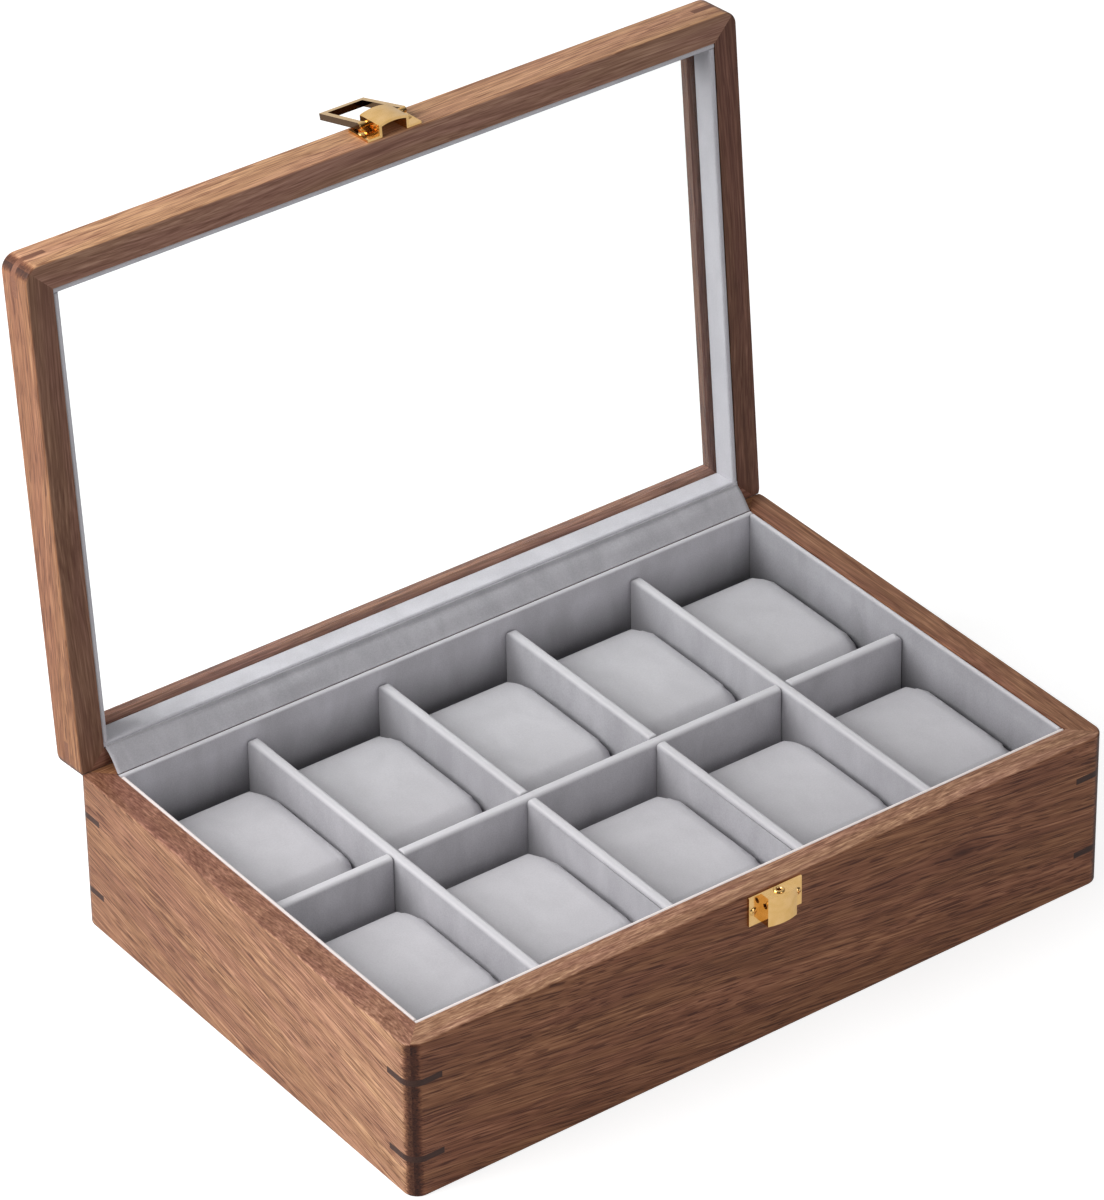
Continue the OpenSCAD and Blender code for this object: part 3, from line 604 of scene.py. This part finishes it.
# %% [markdown]
# ## Velvet
#
# The lining is a short, dense grey velvet. Its pile scatters light softly,
# glows at the edges where the eye looks along the surface, and shows faint
# patches where it was brushed. Sheen gives the glow, a slow noise the brushed
# patches, and a fine noise the pile itself, drawn at half a millimetre so
# that it shows.
#
# Three marks of painted light and shade are mixed into its colour. The top
# of a board is painted paler: a painted highlight where light catches it. A
# face turned left is painted darker, and so is the low part of a board deep
# in a compartment: both painted shade. Each is mixed in by place or by the
# direction of the surface.

# %% Velvet material
PILE_MM = 0.55
SHEEN_TINT = "#f2f2f6"


def velvet(name, dark, pale, brush_mm=(14, 14, 30), glow=0.3, painted_top_highlight=None, left_face_shade=1.0, foot=1.0):
    """Velvet with brushed patches of brush_mm along X, Y and Z.

    The top-highlight pair holds the height of a board's top in mm and a paler
    colour painted there: a painted highlight. A face turned left is painted
    darker by the left-face factor, and the low part, below 38 mm and fading out
    at 60 mm, by the foot factor: both painted shade."""
    made, tree, out = new_material(name, pale)
    place = add(tree, "TexCoord").outputs["Object"]
    brush_at = add(tree, "Mapping", {"Vector": place, "Scale": [1000 / s for s in brush_mm]}).outputs[0]
    brush = add(tree, "TexNoise", {
        "Vector": brush_at, "Scale": 1.0, "Detail": 3.0, "Roughness": 0.55, "Distortion": 0.4}).outputs["Fac"]
    pile = add(tree, "TexNoise", {
        "Vector": place, "Scale": 1000 / PILE_MM, "Detail": 2.0, "Roughness": 0.6}).outputs["Fac"]
    tone = add(tree, "Math", {0: pile, 1: 0.8, 2: -0.4}, operation="MULTIPLY_ADD").outputs[0]
    tone = add(tree, "Math", {0: brush, 1: tone}, operation="ADD").outputs[0]
    colour = add(tree, "ValToRGB", {"Fac": tone}, stops=[(0.25, dark), (0.75, pale)]).outputs["Color"]

    up = add(tree, "SeparateXYZ", {0: place}).outputs["Z"]
    # painted highlight: the top of a board gets a paler colour
    if painted_top_highlight:
        top, highlight_colour = painted_top_highlight
        highlight_mask = add(tree, "MapRange", {
            "Value": up, "From Min": (top - 1.1) * MM, "From Max": (top - 0.3) * MM}).outputs[0]
        colour = add(tree, "Mix", {0: highlight_mask, 6: colour, 7: light_of(highlight_colour)},
                     data_type="RGBA").outputs[2]
    # painted shade: faces turned left are darkened
    facing = add(tree, "SeparateXYZ", {0: add(tree, "TexCoord").outputs["Normal"]}).outputs["X"]
    painted_left_shade = add(tree, "MapRange", {
        "Value": facing, "From Min": -0.9, "From Max": -0.1, "To Min": left_face_shade, "To Max": 1.0}).outputs[0]
    # painted shade: the low part of a board is darkened
    low = add(tree, "MapRange", {
        "Value": up, "From Min": 0.038, "From Max": 0.06, "To Min": foot, "To Max": 1.0}).outputs[0]
    shade = add(tree, "Math", {0: painted_left_shade, 1: low}, operation="MULTIPLY").outputs[0]
    colour = add(tree, "Mix", {0: 1.0, 6: colour, 7: shade},
                 data_type="RGBA", blend_type="MULTIPLY").outputs[2]

    bump = add(tree, "Bump", {"Height": pile, "Strength": 0.35, "Distance": 0.0002}).outputs[0]
    skin = add(tree, "BsdfPrincipled", {
        "Base Color": colour, "Roughness": 0.9, "Normal": bump, "Specular IOR Level": 0.12,
        "Sheen Weight": glow, "Sheen Roughness": 0.45, "Sheen Tint": light_of(SHEEN_TINT),
    })
    tree.links.new(skin.outputs[0], out.inputs[0])
    return made


print("velvet pile, mm", PILE_MM)

# %% [markdown]
# ## Six velvets
#
# All of it is grey velvet. The boards at the back and on the right get more
# painted shade on faces turned left and low down, the cushions are brushed
# smooth, and the hinge cloth is painted darker and the lid strips paler:
# painted shade and painted light.

# %% Velvet pieces
LINER_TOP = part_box("liner_front")[1][2] / MM
DIVIDER_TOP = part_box("divider_centre")[1][2] / MM
# the pale colour at the board tops is a painted highlight
lining_velvet = velvet("grey lining velvet", "#b1b0b3", "#c6c5c8", painted_top_highlight=(LINER_TOP, "#f3e9e6"))
# the lining velvet with more painted shade on faces turned left and low down, and a painted highlight on top
shaded_lining_velvet = velvet("grey lining velvet with painted shade", "#b8b6bb", "#cdcbd1",
                    painted_top_highlight=(LINER_TOP, "#dad7db"), left_face_shade=0.6, foot=0.42)
# paler top: painted highlight; faces turned left darker: painted shade
divider_velvet = velvet("grey divider velvet", "#b2b0b5", "#c7c5ca", painted_top_highlight=(DIVIDER_TOP, "#d6d4d8"), left_face_shade=0.72)
cushion_velvet = velvet("grey cushion velvet", "#c8c6ca", "#d4d2d6", brush_mm=(18, 24, 24))
# paler than the lining: painted light on the lid strips; faces turned left darker: painted shade
strip_velvet = velvet("grey lid velvet", "#c0bec4", "#d2d0d6", glow=0.45, left_face_shade=0.74)
# darker than the lining: painted shade on the hinge cloth
cloth_velvet = velvet("grey hinge cloth", "#aaa8ad", "#bebcc1", brush_mm=(9, 20, 20))
print("board tops, mm", round(LINER_TOP, 2), round(DIVIDER_TOP, 2))

# %% [markdown]
# ## Brass
#
# The latch is polished and lacquered brass: a metal, so its colour is the
# colour of its reflection. Drawn sheet keeps a faint grain along its length,
# which a stretched noise puts into the roughness, and a slow noise gives a
# trace of tarnish. A bail is stamped out of thick sheet with polished flat
# faces, and its cut edges are painted dark: a painted dark reflection.

# %% Brass material
# painted dark reflection on the bail's cut edges
PAINTED_DARK_EDGE = "#553a1b"


def brass(name, dark, pale, roughness, grain_mm=(0.25, 5.0, 5.0), plate=None):
    """Brass whose drawn grain runs as grain_mm says, with faint cloudy tarnish.

    plate is the direction that a flat plate faces. Surfaces square to it are
    its cut edges, which are painted dark: a painted dark reflection."""
    made, tree, out = new_material(name, pale)
    place = add(tree, "TexCoord").outputs["Object"]
    grain_at = add(tree, "Mapping", {"Vector": place, "Scale": [1000 / s for s in grain_mm]}).outputs[0]
    grain = add(tree, "TexNoise", {"Vector": grain_at, "Scale": 1.0, "Detail": 2.0}).outputs["Fac"]
    cloud = add(tree, "TexNoise", {"Vector": place, "Scale": 260.0, "Detail": 3.0}).outputs["Fac"]
    colour = add(tree, "ValToRGB", {"Fac": cloud}, stops=[(0.3, dark), (0.7, pale)]).outputs["Color"]
    # painted dark reflection: surfaces square to the plate get a dark colour
    if plate is not None:
        facing = add(tree, "TexCoord").outputs["Normal"]
        faces = add(tree, "VectorMath", {0: facing, 1: tuple(plate)},
                    operation="DOT_PRODUCT").outputs["Value"]
        faces = add(tree, "Math", {0: faces}, operation="ABSOLUTE").outputs[0]
        painted_edge_shade = add(tree, "MapRange", {"Value": faces, "From Min": 0.25, "From Max": 0.05},
                      interpolation_type="SMOOTHSTEP").outputs[0]
        colour = add(tree, "Mix", {0: painted_edge_shade, 6: colour, 7: light_of(PAINTED_DARK_EDGE)},
                     data_type="RGBA").outputs[2]
    rough = add(tree, "Math", {0: grain, 1: 0.12, 2: roughness - 0.06}, operation="MULTIPLY_ADD").outputs[0]
    bump = add(tree, "Bump", {"Height": grain, "Strength": 0.06, "Distance": 0.00005}).outputs[0]
    skin = add(tree, "BsdfPrincipled", {
        "Base Color": colour, "Metallic": 1.0, "Roughness": rough, "Normal": bump})
    tree.links.new(skin.outputs[0], out.inputs[0])
    return made


print("brass is ready")

# %% [markdown]
# ## Brass pieces
#
# The bail's shader has to know which way its plate faces. Most of a plate's
# area faces one way, so that direction is worked out from the mesh. The
# hinges under the cloth are plain brass with a satin skin.

# %% Brass pieces
POLISH, SATIN = 0.13, 0.32


def plate_direction(node):
    """The direction most of a thin plate's area faces: the sum of area n n^T's strongest axis."""
    mesh = nodes[node].data
    count = len(mesh.polygons)
    area, normal = np.empty(count), np.empty(count * 3)
    mesh.polygons.foreach_get("area", area)
    mesh.polygons.foreach_get("normal", normal)
    normal = normal.reshape(-1, 3)
    spread = (normal * area[:, None]).T @ normal
    return np.linalg.eigh(spread)[1][:, -1]


bail_faces = plate_direction("latch_bail")
latch_brass = brass("polished brass", "#e4b872", "#eec486", POLISH)
bail_brass = brass("polished brass bail", "#e4b872", "#eec486", POLISH, plate=bail_faces)
hinge_brass = brass("satin brass", "#b98f48", "#cda35a", SATIN, grain_mm=(4.0, 0.3, 0.3))
for part in ("hinge_leaves_base", "hinge_leaves_lid", "hinge_pins", "hinge_screws_base", "hinge_screws_lid"):
    dress(part, hinge_brass)
print("bail faces", np.round(bail_faces, 2))

# %% [markdown]
# ## Glass
#
# The pane is clear float glass, flat to a few hundredths of a millimetre over
# 60 mm or so, which a faint slow relief stands for. A solid sheet of shader
# glass would cast a dark shadow, because rays towards a lamp do not bend
# through it. A real pane lets the light through, so rays that look for a
# lamp meet a nearly clear film instead.

# %% Glass
pane, tree, out = new_material("clear float glass", "#f4fbfa")
place = add(tree, "TexCoord").outputs["Object"]
swell = add(tree, "TexNoise", {"Vector": place, "Scale": 16.0, "Detail": 1.0}).outputs["Fac"]
bump = add(tree, "Bump", {"Height": swell, "Strength": 0.02, "Distance": 0.0005}).outputs[0]
body = add(tree, "BsdfPrincipled", {
    "Base Color": light_of("#fbfefd"), "Roughness": 0.0, "IOR": 1.5,
    "Transmission Weight": 1.0, "Normal": bump,
})
clear = add(tree, "BsdfTransparent", {"Color": (0.96, 0.975, 0.97, 1)})
path = add(tree, "LightPath").outputs
veil = add(tree, "MixShader", {0: path["Is Shadow Ray"], 1: body.outputs[0], 2: clear.outputs[0]})
tree.links.new(veil.outputs[0], out.inputs[0])
dress("glass_pane", pane)
print("pane", pane.name)

# %% [markdown]
# ## Softened copies
#
# Velvet pulled round a board rounds its edges, and pressed brass has a tiny
# round on each edge that catches the light. A solid of the frame keeps its
# shape, so a copy is made of it: its loose triangles are joined, flat
# neighbours are merged, and a bevel rounds the sharp edges. The copy stands
# in for the solid.

# %% Softened copy of a solid
def softened(node, made, body, width_mm, steps=3):
    """A joined copy of a solid, its sharp edges rounded by a bevel width_mm wide."""
    copy = nodes[node].data.copy()
    copy.name = node + "_soft"
    work = bmesh.new()
    work.from_mesh(copy)
    bmesh.ops.remove_doubles(work, verts=work.verts, dist=1e-6)
    bmesh.ops.dissolve_limit(work, angle_limit=math.radians(0.1), verts=work.verts, edges=work.edges,
                             delimit={"NORMAL"})
    bmesh.ops.recalc_face_normals(work, faces=work.faces)
    for face in work.faces:
        face.smooth = True
    work.to_mesh(copy)
    work.free()
    copy.materials.clear()
    copy.materials.append(made)
    piece = bpy.data.objects.new(node + "_soft", copy)
    bpy.context.scene.collection.objects.link(piece)
    bevel = piece.modifiers.new("edges", "BEVEL")
    bevel.width, bevel.segments, bevel.limit_method = width_mm * MM, steps, "ANGLE"
    bevel.angle_limit = math.radians(32)
    smooth = piece.modifiers.new("corners", "WEIGHTED_NORMAL")
    smooth.keep_sharp = True
    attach(piece, body)
    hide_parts(node)
    return piece


print("a bevel rounds edges sharper than 32 degrees")

# %% [markdown]
# ## Boards and fittings, softened
#
# The velvet on the lining boards is the thickest and gets the widest round,
# the dividers a narrower one, and the thin strips in the lid the narrowest.
# On brass the round is a seventh of a millimetre, and more on the bail.

# %% Soften velvet boards and brass
velvet_boards = ["liner_floor", "liner_front", "liner_back", "liner_left", "liner_right"]
for board in velvet_boards:
    # the back and right boards get the velvet with more painted shade
    lining = shaded_lining_velvet if board in ("liner_back", "liner_right") else lining_velvet
    softened(board, lining, "base", 0.7)
dividers = ["divider_centre"] + [f"divider_cross_{i}" for i in range(1, 5)]
for board in dividers:
    softened(board, divider_velvet, "base", 0.5)
lid_strips = ["lid_liner_" + side for side in ("front", "back", "left", "right")]
for board in lid_strips:
    softened(board, strip_velvet, "lid", 0.35)
base_brass = ["strike_plate", "strike_screws", "strike_eyelet"]
for part in base_brass:
    softened(part, latch_brass, "base", 0.14, 2)
lid_brass = ["latch_bracket", "latch_bracket_screws", "latch_eyelet"]
for part in lid_brass:
    softened(part, latch_brass, "lid", 0.14, 2)
softened("latch_bail", bail_brass, "bail", 0.22, 3)
print("softened copies", len(velvet_boards + dividers + lid_strips + base_brass + lid_brass) + 1)

# %% [markdown]
# ## Cushions
#
# Each compartment holds a cushion that a watch is strapped around: a velvet
# cover, stuffed firm, whose top is a broad low crown and whose plan is a
# rectangle with round corners. It rests on the floor board, so it is flat
# below.
#
# The cover starts as the cushion's solid, cut into even squares and a little
# smaller than the finished cushion. Cloth simulation then blows it up like a
# balloon: its faces crown and its corners stay. Three covers are blown up,
# each with its own slight unevenness, and shared out over the ten places.
#
# Three helpers come first: two for a mesh's points and one for modifiers.

# %% Points of a mesh
def points_of(mesh):
    """The mesh's points as an array."""
    flat = np.empty(len(mesh.vertices) * 3)
    mesh.vertices.foreach_get("co", flat)
    return flat.reshape(-1, 3)


def set_points(mesh, points):
    """Puts an array of points back into the mesh."""
    mesh.vertices.foreach_set("co", np.ascontiguousarray(points, dtype=np.float32).ravel())
    mesh.update()


def bake(piece):
    """Turns a piece's modifiers into its mesh."""
    graph = bpy.context.evaluated_depsgraph_get()
    done = bpy.data.meshes.new_from_object(piece.evaluated_get(graph))
    piece.modifiers.clear()
    old, piece.data = piece.data, done
    bpy.data.meshes.remove(old)


print("points of the cushion's solid", len(points_of(nodes["cushion_1"].data)))

# %% [markdown]
# ## Start shape
#
# A sewn cover is never quite even, so the solid's points are first moved by
# one part in a hundred along a slow ripple with random phases. Remesh then
# cuts it into even squares, so that the cloth stretches alike everywhere.

# %% Start shape of a cushion
CUSHION = np.array(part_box("cushion_1"))
HALF = (CUSHION[1] - CUSHION[0]) / 2
SHRINK, RIPPLE, SQUARE = 0.97, 0.01, 0.0036
rng = np.random.default_rng(7)


def start_cover(number):
    """The solid cushion about the origin, shrunk, rippled and cut into even squares.

    The ripple is 1 + 0.01 sin(90 x + p) cos(70 y + q) cos(60 z + r), with p, q
    and r drawn for each cover, so that no two covers are alike."""
    mesh = nodes["cushion_1"].data.copy()
    mesh.name = f"cover_{number}"
    work = bmesh.new()
    work.from_mesh(mesh)
    bmesh.ops.remove_doubles(work, verts=work.verts, dist=1e-6)
    work.to_mesh(mesh)
    work.free()
    points = (points_of(mesh) - (CUSHION[0] + CUSHION[1]) / 2) * SHRINK
    x, y, z = points.T
    p, q, r = rng.uniform(0, 2 * np.pi, 3)
    ripple = RIPPLE * np.sin(90 * x + p) * np.cos(70 * y + q) * np.cos(60 * z + r)
    set_points(mesh, points * (1 + ripple[:, None]))
    mesh.materials.clear()
    mesh.materials.append(cushion_velvet)
    piece = bpy.data.objects.new(mesh.name, mesh)
    bpy.context.scene.collection.objects.link(piece)
    remesh = piece.modifiers.new("even squares", "REMESH")
    remesh.mode, remesh.voxel_size, remesh.use_smooth_shade = "VOXEL", SQUARE, True
    bake(piece)
    return piece


print("cushion half size, mm", np.round(HALF * 1000, 2))

# %% [markdown]
# ## Blow up
#
# Stuffing presses outwards on the cover, as air does in a balloon, so the
# cloth simulation is given a pressure and no weight. A cover that is stuffed
# firm gives only a little, so a point that goes too far is drawn back.

# %% Blow up a cover
PRESSURE, FURTHEST, STEPS = 4.0, 0.0016, 20


def blow_up(piece):
    """Inflates a closed cover as cloth.

    A point that moves further than FURTHEST is pulled back to that distance."""
    start = points_of(piece.data)
    cloth = piece.modifiers.new("cover", "CLOTH")
    cloth.settings.quality = 6
    cloth.settings.mass = 0.25
    cloth.settings.use_pressure = True
    cloth.settings.uniform_pressure_force = PRESSURE
    cloth.settings.effector_weights.gravity = 0.0
    cloth.point_cache.frame_start, cloth.point_cache.frame_end = 1, STEPS
    for frame_number in range(1, STEPS + 1):
        bpy.context.scene.frame_set(frame_number)
    bake(piece)
    bpy.context.scene.frame_set(1)
    moved = points_of(piece.data) - start
    far = np.linalg.norm(moved, axis=1, keepdims=True)
    print(piece.name, "points", len(start), "furthest move, mm", round(float(far.max()) * 1000, 2))
    set_points(piece.data, start + moved * np.minimum(1.0, FURTHEST / np.maximum(far, 1e-9)))


print("pressure", PRESSURE, "over", STEPS, "steps")

# %% [markdown]
# ## Fit and seams
#
# The inflated cover is fitted to the cushion's real size and drawn most of
# the way onto the solid, which keeps the firm edges of a stuffed block. The
# bottom is pressed flat where it rests. A seam runs round each end panel,
# where two pieces of velvet are sewn together; it is a shallow groove along a
# line a few millimetres in from the side, so pressing points in is enough.

# %% Finish a cover
FIRM = 0.9
SEAM_IN, SEAM_DEPTH, SEAM_WIDTH = 0.0042, 0.00045, 0.0009
SKIN, PRESSED = 0.0001, 0.0005


def finish_cover(piece):
    """Fits the cover to the cushion's size, flattens its foot and presses in the two seams.

    The seam groove at a distance s from its line has the depth d exp(-(s / w)^2)."""
    subdivide = piece.modifiers.new("finer", "SUBSURF")
    subdivide.levels = subdivide.render_levels = 1
    bake(piece)
    points = points_of(piece.data)
    low, high = points.min(axis=0), points.max(axis=0)
    points = (points - (low + high) / 2) * (2 * (HALF - SKIN) / (high - low))
    set_points(piece.data, points + CUSHION.mean(axis=0))
    wrap = piece.modifiers.new("onto the solid", "SHRINKWRAP")
    wrap.target, wrap.wrap_method = nodes["cushion_1"], "NEAREST_SURFACEPOINT"
    bake(piece)
    points = FIRM * (points_of(piece.data) - CUSHION.mean(axis=0)) + (1 - FIRM) * points
    foot = -HALF[2] + PRESSED
    points[:, 2] = np.where(points[:, 2] < foot, foot, points[:, 2])
    points[:, 2] = (points[:, 2] - foot) * (2 * HALF[2] / (HALF[2] - foot)) - HALF[2]
    side = np.abs(points[:, 0]) - (HALF[0] - SEAM_IN)
    outward = points * np.array([0.15, 1.0, 1.0])
    outward /= np.maximum(np.linalg.norm(outward, axis=1, keepdims=True), 1e-9)
    groove = SEAM_DEPTH * np.exp(-(side / SEAM_WIDTH) ** 2)
    rim = np.maximum(np.abs(points[:, 1]) / HALF[1], np.abs(points[:, 2]) / HALF[2]) > 0.55
    points -= outward * (groove * rim)[:, None]
    set_points(piece.data, points)


print("seams, mm in from the sides", SEAM_IN * 1000)

# %% [markdown]
# Three covers go through these steps.

# %% Make three covers
COVERS = 3
covers = []
for number in range(COVERS):
    cover = start_cover(number + 1)
    blow_up(cover)
    finish_cover(cover)
    covers.append(cover)
print("cover faces", [len(c.data.polygons) for c in covers])

# %% [markdown]
# Ten cushions from three covers could show repeats, so neighbours get
# different covers, and every other one is mirrored left to right, with its
# faces turned over to match. Each rides on a body of its own.

# %% Place the ten cushions
for number in range(1, 11):
    low, high = np.array(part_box(f"cushion_{number}"))
    mesh = covers[(number * 2) % COVERS].data.copy()
    points = points_of(mesh)
    if number % 2:
        points[:, 0] *= -1
        mesh.flip_normals()
    set_points(mesh, points + (low + high) / 2)
    cushion = bpy.data.objects.new(f"cushion_cover_{number}", mesh)
    bpy.context.scene.collection.objects.link(cushion)
    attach(cushion, f"pillow_{number}")
    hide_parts(f"cushion_{number}")
for cover in covers:
    bpy.data.objects.remove(cover)
print("cushions placed", 10)

# %% [markdown]
# ## Cloth over the hinges
#
# A strip of velvet hides the hinges. It is glued behind the lining at the
# back of the tray and inside the lid's back rail, and is a little longer
# than the gap, so it bows forward; a crease marks where the glue begins, and
# it sags a little between the ends. The strip is worked out as a surface: u
# runs along the box and v across the strip. A formula is surer here than a
# simulation, because the cloth is short and held along both edges.

# %% Shape of the hinge cloth
cloth_low, cloth_high = np.array(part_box("hinge_cloth"))
FOOT = np.array([0.0958, 0.0678])
CREASE = np.array([0.1037, 0.0755])
HEAD = np.array([0.1039, 0.0764])
HEM = 0.0004


def strip_surface(nu=220, nv=49, bow=0.0006, sag=0.0009, glued=0.84):
    """The strip in the plane of Y and Z, from FOOT over CREASE to HEAD.

    Up to v = glued it runs straight from FOOT to CREASE plus an outward bow of
    bow * sin(pi w^1.4), with w = v / glued and a slow waver along u. The rest
    is glued flat, from CREASE to HEAD. Between its ends the crease sags by
    sag * (1 - (2 s - 1)^4), with s from 0 to 1 along the box. Three rounds of
    averaging along v round the crease off."""
    u = np.linspace(cloth_low[0] + HEM, cloth_high[0] - HEM, nu)[:, None]
    v = np.linspace(0, 1, nv)[None, :]
    share = (u - u.min()) / (u.max() - u.min())
    crease_z = CREASE[1] - sag * (1 - (2 * share - 1) ** 4)
    w, t = np.clip(v / glued, 0, 1), np.clip((v - glued) / (1 - glued), 0, 1)
    span_y, span_z = CREASE[0] - FOOT[0], crease_z - FOOT[1]
    length = np.hypot(span_y, span_z)
    waver = 0.00022 * np.sin(2 * np.pi * u / 0.083 + 0.6) + 0.00016 * np.sin(2 * np.pi * u / 0.031 + 2.1)
    lift = bow * np.sin(np.pi * w ** 1.4) + waver * np.sin(np.pi * w) ** 2
    y = FOOT[0] + span_y * w + (HEAD[0] - CREASE[0]) * t - span_z / length * lift
    z = FOOT[1] + span_z * w + (HEAD[1] - crease_z) * t + span_y / length * lift
    for _ in range(3):
        y[:, 1:-1] = (y[:, :-2] + 2 * y[:, 1:-1] + y[:, 2:]) / 4
        z[:, 1:-1] = (z[:, :-2] + 2 * z[:, 1:-1] + z[:, 2:]) / 4
    return np.stack([u + 0 * v, y, z], axis=-1)


strip = strip_surface()

# %% [markdown]
# The grid of points becomes a mesh of four-sided faces. Solidify gives the
# cloth its thickness. It hangs between the two halves of the box.

# %% Hinge cloth
def surface(name, points, made):
    """A mesh from a grid of points, point (i, j) joined to (i + 1, j) and (i, j + 1)."""
    nu, nv = points.shape[:2]
    i, j = np.meshgrid(np.arange(nu - 1), np.arange(nv - 1), indexing="ij")
    corner = i * nv + j
    quads = np.stack([corner, corner + nv, corner + nv + 1, corner + 1], axis=-1).reshape(-1, 4)
    mesh = bpy.data.meshes.new(name)
    mesh.from_pydata(points.reshape(-1, 3).tolist(), [], quads.tolist())
    work = bmesh.new()
    work.from_mesh(mesh)
    bmesh.ops.recalc_face_normals(work, faces=work.faces)
    for face in work.faces:
        face.smooth = True
    work.to_mesh(mesh)
    work.free()
    mesh.materials.append(made)
    piece = bpy.data.objects.new(name, mesh)
    bpy.context.scene.collection.objects.link(piece)
    return piece


hinge_strip = surface("hinge_strip", strip, cloth_velvet)
thick = hinge_strip.modifiers.new("pile", "SOLIDIFY")
thick.thickness, thick.offset = 0.0006, 0.0
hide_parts("hinge_cloth")
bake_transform(hinge_strip)
print("cloth faces", len(hinge_strip.data.polygons))
